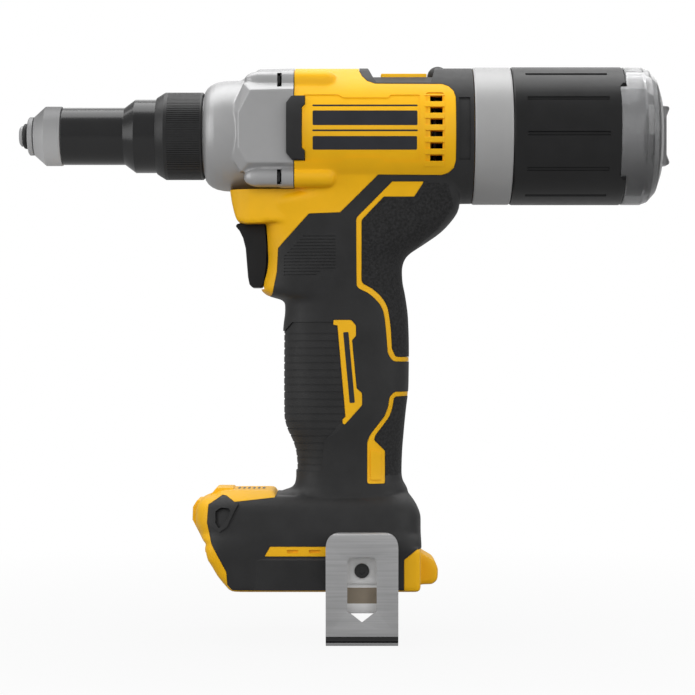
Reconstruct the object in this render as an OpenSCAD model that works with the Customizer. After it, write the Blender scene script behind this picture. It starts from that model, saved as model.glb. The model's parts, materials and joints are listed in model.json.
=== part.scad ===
// Battery rivet tool: pistol-grip puller for blind rivets. Millimetres.
// X runs from the nosepiece tip to the rear along the pull axis, Z is up, -Y is the tool's left side.

/* [Nose] */
// radius of the nosepiece's rounded tip
tip_r = 4.8; // [4.2:0.1:5.2]
// length of the tip in front of its rubber ring
tip_len = 1.8; // [1.2:0.1:2.4]
// length of the rubber ring's groove
groove_len = 2.5; // [2.2:0.1:3]
// radius of the nosepiece's flange
flange_r = 9; // [8:0.1:9.6]
// length of the nosepiece's flange
flange_len = 2.9; // [2:0.1:4]
// radius of the bore that takes the rivet's mandrel
mandrel_r = 2.1; // [1.2:0.1:2.4]
// radius of the nosepiece's threaded shank
shank_r = 6; // [5.4:0.1:6.6]
// largest radius of the silver nose cap
cap_r = 13.9; // [13:0.1:15]
// length of the cap's cone
cap_cone_len = 5.3; // [4:0.1:7]
// length of the cap behind its cone
cap_len = 7.7; // [6:0.1:10]
// radius of the black sleeve's slim part
sleeve_r = 13.4; // [13.2:0.1:14.2]
// length of the sleeve's slim part
sleeve_len = 29.3; // [28:0.1:33]
// length of the sleeve's cone
sleeve_cone_len = 4.8; // [4:0.1:7]
// radius of the sleeve's wide part
sleeve_wide_r = 17.2; // [16.4:0.1:17.4]
// length of the sleeve's wide part in front of the collar
sleeve_wide_len = 10.3; // [9:0.1:14]
// radius of the knurled collar
collar_r = 20.4; // [20:0.1:23]
// length of the collar, its cone included
collar_len = 22.2; // [20:0.1:26]
// length of the collar's cone
collar_cone_len = 3.8; // [3:0.1:4.4]
// length of the sleeve's flange under the collar
sleeve_flange_len = 3; // [2.6:0.1:3.2]

/* [Pulling head] */
// pulling stroke of the screw
stroke = 30; // [24:0.5:31]
// radius of the jaw case
jaw_case_r = 10.8; // [10.4:0.1:10.9]
// half angle of the jaw case's cone
jaw_angle = 12; // [10:0.5:13]
// length of a jaw
jaw_len = 14; // [12:0.5:14.5]
// how far a jaw slides along the cone while it closes
jaw_travel = 3; // [2:0.1:3.2]
// radius of the hollow screw as a share of the barrel's radius
screw_share = 0.26923; // [0.26:0.001:0.276]
// radius of the screw's bore
screw_bore_r = 4; // [3.9:0.1:4.4]
// radius of the keys that stop the screw turning
key_r = 2; // [1.6:0.1:2.2]
// thickness of the jaw pusher's head
pusher_t = 2.2; // [1.8:0.1:2.4]
// wire thickness of the jaw spring
jaw_wire = 1.5; // [1.2:0.1:1.6]
// turns of the jaw spring
jaw_coils = 5; // [4:1:5]

/* [Gear case] */
// radius of the gear case's body as a share of the barrel's radius
case_share = 0.83334; // [0.83:0.001:0.85]
// length of the gear case behind the collar
case_len = 42.3; // [42:0.1:48]
// wall of the gear case
case_wall = 3; // [2.6:0.1:3.2]
// radius of the threaded snout under the collar
snout_r = 18.7; // [18.6:0.1:18.9]
// radius of the four screw bosses
boss_r = 5.6; // [5:0.1:6]
// sideways place of the upper bosses as a share of the barrel's radius
upper_boss_y_share = 0.56; // [0.53:0.001:0.59]
// height of the upper bosses as a share of the barrel's radius
upper_boss_z_share = 0.8; // [0.78:0.001:0.82]
// sideways place of the lower bosses as a share of the barrel's radius
lower_boss_y_share = 0.724; // [0.71:0.001:0.76]
// drop of the lower bosses as a share of the barrel's radius
lower_boss_z_share = 0.628; // [0.61:0.001:0.65]
// length of the bosses' flange behind the screw heads
boss_flange_len = 6.4; // [5:0.1:8]
// length of the housing's bosses
shell_boss_len = 13; // [10:0.1:15]
// radius of a case screw's thread
case_screw_r = 2; // [1.6:0.1:2.4]
// radius of a case screw's head
case_head_r = 3.5; // [3.2:0.1:3.9]
// length of a case screw's head
case_head_len = 2.8; // [2:0.1:3.2]

/* [Drive] */
// thickness of the ring gear outside its teeth
ring_rim = 1.69; // [1.6:0.01:2]
// teeth of the sun gear
sun_teeth = 33; // [30:3:36]
// teeth of a planet gear
planet_teeth = 18; // [18:3:21]
// length of the gears
gear_len = 8; // [6:0.1:9]
// radius of the nut as a share of the barrel's radius
nut_share = 0.52885; // [0.5:0.001:0.56]
// length of the nut
nut_len = 35.6; // [34:0.1:37]
// length of the thrust bearing
thrust_len = 4.8; // [4.2:0.1:5.4]
// thickness of the planet carrier's plate
carrier_t = 4; // [3:0.1:4.4]
// radius of a planet's pin
pin_r = 2.5; // [2:0.1:3]
// radius of the mandrel guide tube
tube_r = 3.6; // [3.2:0.1:3.7]
// wall of the guide tube
tube_wall = 0.7; // [0.5:0.1:0.8]

/* [Motor] */
// wall of the hollow motor shaft as a share of the barrel's radius
shaft_wall_share = 0.08975; // [0.08:0.001:0.096]
// radius of the rotor as a share of the barrel's radius
rotor_share = 0.5641; // [0.55:0.001:0.58]
// thickness of the rotor's magnets as a share of the barrel's radius
magnet_share = 0.0577; // [0.045:0.001:0.07]
// radial air gap of the motor
air_gap = 0.6; // [0.4:0.1:0.8]
// room between the rear bearing and the light grey ring
motor_rear_room = 6.9; // [6:0.1:9]
// length of the windings beyond the stack
coil_len = 3.8; // [3:0.1:4]
// inner radius of the stator's yoke as a share of its outer radius
yoke_share = 0.9; // [0.86:0.005:0.92]
// number of stator teeth
stator_teeth = 12; // [6:3:12]
// length of the fan
fan_len = 6.4; // [5:0.1:7]
// number of fan blades
fan_blades = 11; // [7:1:15]
// length of a motor bearing
bearing_len = 5; // [4:0.1:5.5]
// radial thickness of a motor bearing
bearing_t = 5; // [4:0.1:5.4]

/* [Housing] */
// radius of the barrel
barrel_r = 31.2; // [31:0.1:32]
// length of the barrel behind the gear case
barrel_len = 82.5; // [80:0.1:84]
// wall of the clamshells
shell_wall = 2.6; // [2.2:0.1:2.8]
// thickness of the soft overmould
soft_t = 1.2; // [0.8:0.1:1.4]
// height of the barrel's flat top as a share of its radius
flat_share = 0.91346; // [0.911:0.001:0.94]
// length of a vent slot
vent_len = 5.6; // [4:0.1:6]
// height of a vent slot
vent_h = 2.2; // [1.6:0.1:2.6]
// number of vent slots on a side
vent_count = 6; // [4:1:6]
// pitch of the vent slots
vent_pitch = 5.6; // [4.5:0.1:5.8]
// radius of the clamshell screws
screw_thread_r = 1.5; // [1.3:0.1:1.8]
// radius of the clamshell screws' heads
screw_head_r = 2.9; // [2.6:0.1:3]
// length of the clamshell screws' heads
screw_head_len = 2.4; // [1.8:0.1:2.6]

/* [Handle] */
// depth of the handle from front to back
handle_depth = 58.8; // [58:0.1:62]
// width of the handle over its overmould
handle_width = 40.6; // [40:0.1:44]
// place of the handle's middle along the tool
handle_x = 153; // [152.8:0.1:153.4]
// height of the handle and neck from the barrel to the foot
handle_len = 153; // [150:0.5:160]
// drop of the neck's top below the pull axis
neck_drop = 14; // [13:0.1:15]

/* [Trigger] */
// height of the trigger
trigger_h = 30.4; // [29:0.1:31]
// width of the trigger
trigger_w = 17; // [14:0.1:18]
// pull of the trigger
trigger_pull = 6.5; // [5:0.1:6.6]
// drop of the trigger's top below the pull axis
trigger_drop = 40.6; // [40.2:0.1:41]
// place of the trigger's rear edge
trigger_x = 115.7; // [115.4:0.1:116]
// radius of the trigger's plunger
plunger_r = 2.5; // [2:0.1:2.6]
// wire thickness of the trigger spring
trigger_wire = 1; // [0.8:0.1:1]
// turns of the trigger spring
trigger_coils = 4; // [3:1:4]

/* [Foot] */
// length of the foot
foot_len = 106.7; // [105:0.1:108]
// width of the foot over its overmould
foot_width = 66; // [65:0.1:70]
// height of the foot
foot_h = 47.5; // [47:0.1:50]
// place of the foot's front
foot_x = 81.3; // [81:0.1:81.6]
// width of the battery channel
channel_w = 55; // [50:0.1:56]
// height of the battery channel
channel_h = 18; // [17:0.1:19]
// width of a battery rail's lip
rail_w = 3; // [2:0.1:4]
// height of a battery rail's lip
rail_h = 4.2; // [3:0.1:5]
// thickness of the floor above the battery channel
floor_t = 2.5; // [2:0.1:3]
// width of the lamp's lens
lens_w = 15; // [10:0.1:20]
// height of the lamp's lens
lens_h = 6; // [5:0.1:7]
// width of the terminal block
terminal_w = 34; // [30:0.1:40]
// number of terminal blades
blade_count = 4; // [3:1:5]

/* [Belt hook] */
// width of the belt hook
hook_w = 32.6; // [30:0.1:34]
// height of the belt hook
hook_h = 51; // [48:0.1:54]
// thickness of the hook's steel
hook_t = 1.8; // [1.4:0.1:2]
// gap that the belt runs in
belt_gap = 9.8; // [8:0.1:11]
// place of the hook's screw along the tool
hook_x = 160.4; // [158:0.1:164]
// drop of the hook's screw below the foot's top
hook_screw_drop = 37; // [36.5:0.1:37.5]
// radius of the hook screw's thread
hook_screw_r = 2; // [1.6:0.1:2.2]
// radius of the hook screw's head
hook_head_r = 3.4; // [3:0.1:4]
// radius of the threaded inserts
insert_r = 3.2; // [3:0.1:3.4]
// length of the threaded inserts
insert_len = 4.2; // [3.6:0.1:4.4]

/* [Rear] */
// how far the light grey ring stands out of the barrel
ring_step = 1; // [0.8:0.1:1.4]
// length of the light grey ring
ring_len = 17.6; // [16:0.1:19]
// length of the collector's black sleeve
collector_len = 51.9; // [50:0.1:58]
// length of the cup behind the sleeve
cup_tail_len = 18.2; // [17:0.1:20]
// wall of the cup
cup_wall = 2; // [1.8:0.1:2.2]
// length of the cup's seat on the ring
spigot_len = 14.5; // [13:0.1:16]
// radius of the end plug's hub
plug_r = 9.4; // [8:0.1:10]
// length of the end plug's finger bar
bar_len = 28; // [24:0.1:30]
// thickness of the finger bar
bar_t = 4.4; // [3:0.1:5]
// radial room of the collector's lock ring
lock_t = 1.65; // [1.5:0.05:1.8]
// thickness of half the collector's seal
seal_r = 1; // [0.8:0.1:1.1]
// number of grip flutes on the collector's sleeve
flute_count = 12; // [8:1:16]
// width of a grip flute
flute_w = 2.4; // [1.6:0.1:3]

/* [Fits] */
// gap between pieces that move apart
gap = 0.3; // [0.25:0.01:0.4]
// radial running clearance of turning and sliding fits
run_fit = 0.05; // [0.03:0.01:0.08]
// half of the parting line between the two clamshells
split = 0.05; // [0.03:0.01:0.08]
// overrun of every cut
over = 1; // [0.6:0.1:1.5]

/* [Hidden] */
$fn = 64;

// Radii that follow the barrel.
screw_r = barrel_r * screw_share;
case_r = barrel_r * case_share;
ring_r = barrel_r + ring_step;
flat_z = barrel_r * flat_share;
rotor_r = barrel_r * rotor_share;
nut_r = barrel_r * nut_share;
shaft_wall = barrel_r * shaft_wall_share;
magnet_t = barrel_r * magnet_share;
upper_boss_y = barrel_r * upper_boss_y_share;
upper_boss_z = barrel_r * upper_boss_z_share;
lower_boss_y = barrel_r * lower_boss_y_share;
lower_boss_z = barrel_r * lower_boss_z_share;

// Stations along the pull axis, from the tip to the rear.
cap_x = tip_len + groove_len + flange_len;
sleeve_x = cap_x + cap_cone_len + cap_len;
wide_x = sleeve_x + sleeve_len + sleeve_cone_len;
collar_x = wide_x + sleeve_wide_len;
case_x = collar_x + collar_len + gap;
shell_x = case_x + case_len;
ring_x = shell_x + barrel_len + gap;
spigot_x = ring_x + ring_len;
tail_x = spigot_x + gap + collector_len;
end_x = tail_x + cup_tail_len;

// Nose.
o_ring_r = groove_len * 0.44;
o_ring_mid_r = tip_r + run_fit;
nose_bore_r = jaw_case_r + gap;
lip_r = sleeve_wide_r + run_fit;
thread_bore_r = snout_r + run_fit;
lip_x = collar_x + collar_cone_len;
sleeve_flange_r = snout_r - run_fit;
snout_x = lip_x + sleeve_flange_len + gap;

// Pulling head, drawn at rest with the jaws open.
jaw_tan = tan(jaw_angle);
jaw_case_x = sleeve_x + jaw_travel * 1.2;
jaw_case_mouth_r = shank_r * 0.85;
jaw_bore_r = screw_r + run_fit;
jaw_cone_len = (jaw_bore_r - jaw_case_mouth_r) / jaw_tan;
jaw_x = jaw_case_x + gap + jaw_travel * cos(jaw_angle);
jaw_case_end = case_x + case_wall * 2 + thrust_len - stroke;
screw_x = jaw_case_end - screw_r * 1.2;
key_x = jaw_case_end - screw_r * 0.6;
key_reach = nose_bore_r + key_r * 0.75;
pusher_x = jaw_x + jaw_len + gap;
pusher_r = min(screw_r, jaw_case_mouth_r + (pusher_x - jaw_travel - jaw_case_x) * jaw_tan) - gap;
pusher_bore_r = screw_bore_r - tube_wall;
pusher_stem_r = screw_bore_r + tube_wall;
guide_r = nose_bore_r + nose_wall_r();
guide_x = jaw_case_end - screw_r * 1.1;
function nose_wall_r() = sleeve_r - nose_bore_r + gap;

// Drive.
ring_teeth = sun_teeth + 2 * planet_teeth;
front_cavity_r = barrel_r - shell_wall - run_fit;
gear_module = (front_cavity_r - run_fit - ring_rim) / (ring_teeth / 2 + 1.25);
sun_pitch_r = gear_module * sun_teeth / 2;
planet_pitch_r = gear_module * planet_teeth / 2;
ring_pitch_r = gear_module * ring_teeth / 2;
carrier_r = sun_pitch_r + planet_pitch_r;
backlash = gear_module * 0.2;
thrust_x = case_x + case_wall * 2;
nut_x = thrust_x + thrust_len + gap;
carrier_x = nut_x + nut_len;
gear_x = carrier_x + carrier_t + gap;
screw_end = carrier_x + carrier_t;
case_bore_r = case_r - case_wall;
shaft_bore_r = screw_r + air_gap + gap;
shaft_r = shaft_bore_r + shaft_wall;
bearing_r = shaft_r + bearing_t;
rear_cavity_r = flat_z - shell_wall + run_fit;
bracket_x = gear_x + gear_len + gap * 2;
bracket_t = bearing_len;
step_x = bracket_x + bracket_t;
stack_x = step_x + coil_len + gap;
shaft_end = ring_x - motor_rear_room;
rear_bearing_x = shaft_end - bearing_len;
fan_x = rear_bearing_x - fan_len - gap * 2;
coil_end = fan_x - gap * 2;
stack_len = coil_end - coil_len - stack_x;
stator_r = rear_cavity_r - run_fit;
stator_bore_r = rotor_r + air_gap;
fan_r = rear_cavity_r - air_gap;

// Soft saddle and collar on the barrel.
saddle_x = shell_x + barrel_len * 0.385;
collar_front = fan_x + vent_len;

// Rear.
cup_bore_r = ring_r - cup_wall * 2 - run_fit;
spigot_r = cup_bore_r - lock_t;
cup_r = ring_r - cup_wall - run_fit;
web_x = ring_x + ring_len * 0.6;
web_t = cup_wall * 2;
seal_x = spigot_x + spigot_len - seal_r * 3;
seal_mid_r = cup_bore_r - seal_r - run_fit;
tube_x = screw_end - screw_r;
tube_end = spigot_x + web_t;

// Handle, foot and hook.
neck_z = -neck_drop;
foot_z = neck_z - handle_len + shell_wall * 1.4;
foot_y = foot_width / 2;
foot_bottom = foot_z - foot_h;
channel_top = foot_bottom + channel_h;
hook_z = foot_z - hook_screw_drop;
leg_y = -foot_y - run_fit * 2;
plate_y = leg_y - hook_t - belt_gap;
bend_r = hook_t + belt_gap / 2;
hook_top = foot_z - foot_h * 0.4;
hook_bottom = hook_top - hook_h;
switch_x = trigger_x + trigger_pull + plunger_r * 2;
plunger_z = -trigger_drop - trigger_h / 2;
tail_end = trigger_x + plunger_r * 1.6;
board_z = channel_top + floor_t + gap;
lamp_x = foot_x + foot_len * 0.13;
lamp_z = foot_z - foot_h * 0.27;

// Neck and handle sections from the barrel down: drop share of the handle's height, front and back
// shares of
// half its depth from its middle, width share of half its width, and how square the section is.
rear_share = (shell_x + barrel_len - handle_x) * 2 / handle_depth;
neck_shares = [
  [0, -0.789, rear_share, 1.31, 8],
  [0.04, -0.789, rear_share, 1.2, 8],
  [0.077, -0.789, rear_share, 1.12, 8],
  [0.105, -1.29, rear_share * 0.9926, 1.08, 7],
  [0.144, -1.326, rear_share * 0.91, 1.045, 5],
  [0.183, -1.326, rear_share * 0.832, 1.03, 4],
  [0.222, -1.326, rear_share * 0.688, 1.015, 3.4],
  [0.261, -1.313, 1.082, 1.005, 3],
  [0.301, -1.293, 0.925, 0.995, 2.8],
  [0.353, -1.241, 0.905, 0.985, 2.8],
  [0.399, -1.139, 0.952, 0.98, 2.7],
  [0.425, -0.966, 0.973, 0.98, 2.6],
  [0.497, -0.997, 1, 0.995, 2.5],
  [0.66, -1, 1.007, 1, 2.5],
  [0.771, -0.993, 0.959, 0.985, 2.5],
  [0.83, -0.891, 0.925, 0.96, 2.5],
  [0.889, -0.803, 0.901, 0.946, 2.5],
  [0.954, -0.796, 0.895, 0.966, 2.6],
  [1, -0.833, 0.966, 1.06, 3]
];
// Part of the side covered by the soft grip, as shares of half the handle's depth and of its height.
grip_shares = [
  [-1.126, 0.38], [-1.088, 0.251], [-0.585, 0.145], [-0.088, 0.142], [0.52, 0.03], [2.2, 0.03], [2.2, 1.02],
  [-1.4, 1.02], [-1.4, 0.47]
];
// Upper soft stripe: the yellow line that crosses the grip.
stripe_shares = [
  [0.7, 0.05], [1.05, 0.05], [0.95, 0.1], [0.2, 0.167], [0.2, 0.363], [0.33, 0.38], [0.5, 0.43],
  [0.57, 0.53],
  [0.6, 0.59], [0.82, 0.597], [0.82, 0.617], [0.56, 0.612], [0.51, 0.55], [0.44, 0.45], [0.29, 0.4],
  [0.11, 0.38],
  [0.11, 0.157]
];
// Yellow plate on the grip's side.
plate_shares = [
  [-0.22, 0.475], [0.087, 0.475], [0.146, 0.495], [0.146, 0.525], [0.087, 0.538], [0.154, 0.685],
  [0.245, 0.702],
  [0.245, 0.734], [-0.04, 0.795], [-0.08, 0.78], [-0.03, 0.77], [-0.15, 0.492], [-0.22, 0.49]
];
// Hood above the trigger, as shares of the gear case's length and of the trigger's drop.
hood_shares = [
  [0.265, -0.64], [0.29, -0.781], [0.352, -1.018], [0.375, -1.025], [0.72, -0.999], [1.02, -0.999],
  [1.02, -0.32],
  [0.265, -0.32]
];
// Foot seen from the side, as shares of its length and height.
foot_shares = [
  [0.358, -0.023], [0.1, 0], [0.06, -0.035], [0.0216, -0.126], [0, -0.274], [0.018, -0.453],
  [0.049, -0.571],
  [0.0525, -0.684], [0.091, -0.853], [0.1565, -1], [0.925, -1], [0.99, -0.979], [0.99, -0.632], [1, -0.6],
  [1, -0.263], [0.9775, -0.154], [0.93, -0.03], [0.438, -0.03], [0.377, -0.06]
];
// Heel tab behind the foot, in the same shares.
heel_shares = [
  [0.96, -0.7], [1.0225, -0.705], [1.062, -0.768], [1.075, -0.835], [1.075, -0.94], [1.052, -0.978],
  [0.96, -0.985]
];
// Foot from above and from the front, as half-width shares.
foot_plan_shares = [[0, 0.5], [0.06, 0.8], [0.16, 0.97], [0.3, 1], [0.9, 1], [0.965, 0.93], [1, 0.75]];
foot_front_shares = [[0.48, 0], [0.68, -0.06], [0.87, -0.2], [0.97, -0.42], [1, -0.6], [1, -1]];
// Part of the foot's side covered by the soft overmould.
foot_soft_shares = [
  [0.377, -0.02], [0.36, -0.16], [0.183, -0.192], [0.13, -0.125], [0.065, -0.22], [0.06, -0.42],
  [0.084, -0.62],
  [0.147, -0.86], [0.155, -0.98], [0.9, -0.98], [0.9, -0.6], [1.02, -0.5], [1.02, 0.1], [0.42, 0.1]
];
// Trigger seen from the side, as shares of its height from its upper rear corner.
trigger_shares = [
  [0, 0], [-0.3, 0.015], [-0.46, -0.06], [-0.465, -0.085], [-0.4, -0.14], [-0.345, -0.25], [-0.31, -0.4],
  [-0.29, -0.6], [-0.265, -0.85], [-0.245, -0.95], [-0.21, -1], [-0.1, -1], [-0.05, -0.93], [0, -0.65],
  [0.02, -0.35]
];
// Black bumper over the case joint, as shares of the ring's radius from the joint.
bumper_shares = [
  [-0.135, 0.49], [-0.06, 0.6], [0.14, 0.6], [0.14, 0.48], [0.095, 0.43], [0.095, -0.16], [0.14, -0.2],
  [0.14, -0.34], [-0.03, -0.34], [-0.135, -0.24]
];
// Screw places as shares: neck and grip of half the handle's depth and its height, foot of its length
// and height.
neck_spot_shares = [[0.24, 0.144], [1.19, 0.157]];
grip_spot_shares = [[0.45, 0.42], [-0.46, 0.54], [0.5, 0.69], [-0.1, 0.935]];
foot_spot_shares = [[0.215, -0.29], [0.93, -0.36]];

function neck_point(s) = [handle_x + s[0] * handle_depth / 2, neck_z - s[1] * handle_len];
function foot_point(s) = [foot_x + s[0] * foot_len, foot_z + s[1] * foot_h];
function case_spots() = [
  [upper_boss_y, upper_boss_z], [-upper_boss_y, upper_boss_z], [lower_boss_y, -lower_boss_z],
  [-lower_boss_y, -lower_boss_z]
];

// Turned piece about the pull axis from [radius, station] points.
module lathe(profile, fn = 96) {
  rotate([0, 90, 0]) rotate_extrude($fn = fn) polygon(profile);
}

// Left half of a turned piece.
module half_lathe(profile, fn = 96) {
  rotate([0, 90, 0]) rotate_extrude(angle = -180, $fn = fn) polygon(profile);
}

// Tube or disc about the pull axis.
module band(r0, r1, x0, x1, fn = 96) {
  lathe([[r0, x0], [r1, x0], [r1, x1], [r0, x1]], fn);
}

// Rod along the pull axis.
module rod(r, x0, x1, y = 0, z = 0) {
  translate([x0, y, z]) rotate([0, 90, 0]) cylinder(h = x1 - x0, r = r);
}

// Rod across the tool.
module pin(r, y0, y1, x, z) {
  translate([x, y1, z]) rotate([90, 0, 0]) cylinder(h = y1 - y0, r = r);
}

// Plate seen from the side, between two sideways places.
module side_plate(points, y0, y1) {
  translate([0, y1, 0]) rotate([90, 0, 0]) linear_extrude(y1 - y0) polygon(points);
}

// Box between two corners.
module block(a, b) {
  translate(a) cube(b - a);
}

// Half section of the neck and handle: points from front to back on the left side, moved in by an inset.
function section(s, inset, steps) = let(
  front = handle_x + s[1] * handle_depth / 2 + inset,
  back = handle_x + s[2] * handle_depth / 2 - inset,
  wide = s[3] * handle_width / 2 - inset,
  z = neck_z - s[0] * handle_len
) [
  for (i = [0:steps]) let(a = 180 * i / steps)
    [
      (front + back) / 2 - (back - front) / 2 * sign(cos(a)) * pow(abs(cos(a)), 2 / s[4]),
      -split - (wide - split) * pow(sin(a), 2 / s[4]), z
    ]
];

// Left half of a shell that follows the sections between two insets.
module neck_shell(outer, inner, steps = 12) {
  count = len(neck_shares);
  ring = 2 * (steps + 1);
  points = [
    for (s = neck_shares) let(a = section(s, outer, steps), b = section(s, inner, steps))
      for (i = [0:ring - 1]) i <= steps ? a[i] : b[ring - 1 - i]
  ];
  sides = [
    for (k = [0:count - 2]) for (i = [0:ring - 1]) let(
      a = k * ring + i, b = k * ring + (i + 1) % ring, c = a + ring, d = b + ring
    ) for (t = [[a, b, c], [b, d, c]]) t
  ];
  caps = [
    for (i = [0:steps - 1]) let(a = i, b = i + 1, c = ring - 1 - i, d = ring - 2 - i,
      e = (count - 1) * ring)
      for (t = [[a, c, b], [b, c, d], [a + e, b + e, c + e], [b + e, d + e, c + e]]) t
  ];
  polyhedron(points, concat(sides, caps));
}

// Left half of the foot's outline body, narrower on its side by an inset.
module foot_body(inset) {
  wide = foot_y - inset;
  intersection() {
    side_plate([for (s = foot_shares) foot_point(s)], -foot_y, -split);
    translate([0, 0, foot_bottom - over]) linear_extrude(foot_h + over * 2) polygon(concat(
      [[foot_x, -split]], [for (s = foot_plan_shares) [foot_x + s[0] * foot_len, -s[1] * wide]],
      [[foot_x + foot_len, -split]]
    ));
    translate([foot_x - over, 0, 0]) rotate([90, 0, 90]) linear_extrude(foot_len + over * 2) polygon(concat(
      [[-split, foot_z + over], [-foot_front_shares[0][0] * wide, foot_z + over]],
      [for (s = foot_front_shares) [-s[0] * wide, foot_z + s[1] * foot_h]], [[-split, foot_bottom - over]]
    ));
  }
}

module foot_soft_area() {
  side_plate([for (s = foot_soft_shares) foot_point(s)], -foot_y - over, -split + over);
}

// Coil spring along the pull axis, as one round wire.
module coil(mid_r, wire, x0, x1, turns) {
  steps = 12 * turns;
  sides = 6;
  rise = (x1 - x0 - wire) / turns;
  points = [
    for (i = [0:steps]) let(a = 360 * i / 12, x = x0 + wire / 2 + rise * i / 12)
      for (j = [0:sides - 1]) let(b = 360 * j / sides, r = mid_r + wire / 2 * cos(b))
        [x + wire / 2 * sin(b), r * cos(a), r * sin(a)]
  ];
  walls = [
    for (i = [0:steps - 1]) for (j = [0:sides - 1]) let(
      a = i * sides + j, b = i * sides + (j + 1) % sides, c = a + sides, d = b + sides
    ) for (t = [[a, b, c], [b, d, c]]) t
  ];
  ends = [[for (j = [sides - 1:-1:0]) j], [for (j = [0:sides - 1]) steps * sides + j]];
  polyhedron(points, concat(walls, ends));
}

// Involute gear outline; a tooth stands on the angle zero. Growth widens the space for an inside gear.
function involute(base, r) = let(t = acos(min(1, base / r))) tan(t) * 180 / PI - t;
function gear_points(teeth, addendum, dedendum, slack) = let(
  pitch = gear_module * teeth / 2, base = pitch * cos(20), tip = pitch + addendum, root = pitch - dedendum,
  start = max(base, root), half = 90 / teeth - slack / pitch * 90 / PI
) [
  for (i = [0:teeth - 1]) for (k = [0:7]) let(
    f = k < 4 ? k / 3 : (7 - k) / 3, r = k == 0 || k == 7 ? root : start + (tip - start) * f,
    w = half + involute(base, pitch) - involute(base, max(r, start)), a = 360 * i / teeth + (k < 4 ? -w : w)
  ) [r * cos(a), r * sin(a)]
];

module gear(teeth, x0, x1) {
  translate([x0, 0, 0]) rotate([90, 0, 90]) linear_extrude(x1 - x0)
    polygon(gear_points(teeth, gear_module, gear_module * 1.25, backlash));
}

module nosepiece() {
  color("#b9bcbf") lathe([
    [mandrel_r, 0], [tip_r * 0.75, 0], [tip_r, tip_len * 0.5], [tip_r, tip_len],
    [tip_r - o_ring_r, tip_len], [tip_r - o_ring_r, tip_len + groove_len],
    [flange_r * 0.95, tip_len + groove_len],
    [flange_r, tip_len + groove_len * 1.2], [flange_r, cap_x - gap], [shank_r, cap_x - gap],
    [shank_r, jaw_case_x - gap], [jaw_case_mouth_r - gap, jaw_case_x - gap],
    [jaw_case_mouth_r - gap, jaw_x - gap],
    [mandrel_r, jaw_x - gap]
  ]);
}

module nose_o_ring() {
  color("#141414") rotate([0, 90, 0]) rotate_extrude($fn = 64)
    translate([o_ring_mid_r, tip_len + groove_len / 2]) circle(o_ring_r, $fn = 32);
}

module nose_cap() {
  rear = sleeve_x + cap_len;
  color("#b4b7ba") lathe([
    [shank_r + run_fit, cap_x], [flange_r, cap_x], [cap_r, cap_x + cap_cone_len], [cap_r, sleeve_x],
    [sleeve_r - nose_wall_r() / 3, sleeve_x], [sleeve_r - nose_wall_r() / 3, rear], [nose_bore_r, rear],
    [nose_bore_r, jaw_case_x - gap * 2], [shank_r + run_fit, jaw_case_x - gap * 2]
  ]);
}

module nose_sleeve() {
  front = sleeve_x + gap;
  seat = sleeve_x + cap_len + gap;
  seat_r = sleeve_r - nose_wall_r() / 3 + run_fit;
  color("#2a2b2d") lathe([
    [seat_r, front], [sleeve_r, front], [sleeve_r, wide_x - sleeve_cone_len], [sleeve_wide_r, wide_x],
    [sleeve_wide_r, lip_x + gap], [sleeve_flange_r, lip_x + gap],
    [sleeve_flange_r, lip_x + sleeve_flange_len],
    [guide_r + gap, lip_x + sleeve_flange_len], [guide_r + gap, guide_x - gap],
    [nose_bore_r, guide_x - gap],
    [nose_bore_r, seat], [seat_r, seat]
  ]);
}

module nose_collar() {
  rear = collar_x + collar_len;
  color("#26272a") lathe([
    [lip_r, collar_x], [sleeve_wide_r + gap * 2, collar_x], [collar_r, lip_x], [collar_r, rear - gap * 2],
    [collar_r - gap * 2, rear], [thread_bore_r, rear], [thread_bore_r, lip_x], [lip_r, lip_x]
  ]);
}

module jaw_case() {
  cone_end = jaw_case_x + jaw_cone_len;
  color("#8d9094") difference() {
    lathe([
      [jaw_case_mouth_r, jaw_case_x], [jaw_case_r - gap * 3, jaw_case_x],
      [jaw_case_r, jaw_case_x + gap * 3],
      [jaw_case_r, jaw_case_end], [jaw_bore_r, jaw_case_end], [jaw_bore_r, cone_end]
    ]);
    for (s = [-1, 1]) translate([key_x, 0, s * jaw_bore_r - (s < 0 ? jaw_case_r : over)])
      cylinder(h = jaw_case_r + over, r = key_r + run_fit);
  }
}

// A jaw fits the cone when it is closed, and is drawn slid back and out along the cone.
module jaw(turn) {
  closed_x = jaw_x - jaw_travel * cos(jaw_angle);
  front_r = jaw_case_mouth_r + (closed_x - jaw_case_x) * jaw_tan - run_fit;
  back_r = min(front_r + jaw_len * jaw_tan, jaw_bore_r - run_fit - jaw_travel * sin(jaw_angle));
  cone_len = min(jaw_len, (back_r - front_r) / jaw_tan);
  slot = gap * 1.5;
  bite = mandrel_r * 0.95;
  color("#77797d") rotate([turn, 0, 0])
    translate([jaw_travel * cos(jaw_angle), 0, jaw_travel * sin(jaw_angle)]) intersection() {
      lathe([
        [bite, closed_x], [front_r, closed_x], [back_r, closed_x + cone_len], [back_r, closed_x + jaw_len],
        [bite, closed_x + jaw_len]
      ]);
      translate([closed_x - over, 0, slot]) rotate([90, 0, 90]) linear_extrude(jaw_len + over * 2)
        polygon([[0, 0], [back_r * 2 * sin(60), back_r * 2 * cos(60)], [0, back_r * 3],
          [-back_r * 2 * sin(60), back_r * 2 * cos(60)]]);
    }
}

module jaw_1() {
  jaw(0);
}

module jaw_2() {
  jaw(120);
}

module jaw_3() {
  jaw(240);
}

module jaw_pusher() {
  stem_end = pusher_x + pusher_t + screw_r * 0.5;
  color("#6c6f73") lathe([
    [pusher_bore_r, pusher_x], [pusher_r, pusher_x], [pusher_r, pusher_x + pusher_t],
    [pusher_stem_r, pusher_x + pusher_t], [pusher_stem_r, stem_end], [pusher_bore_r, stem_end]
  ]);
}

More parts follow.
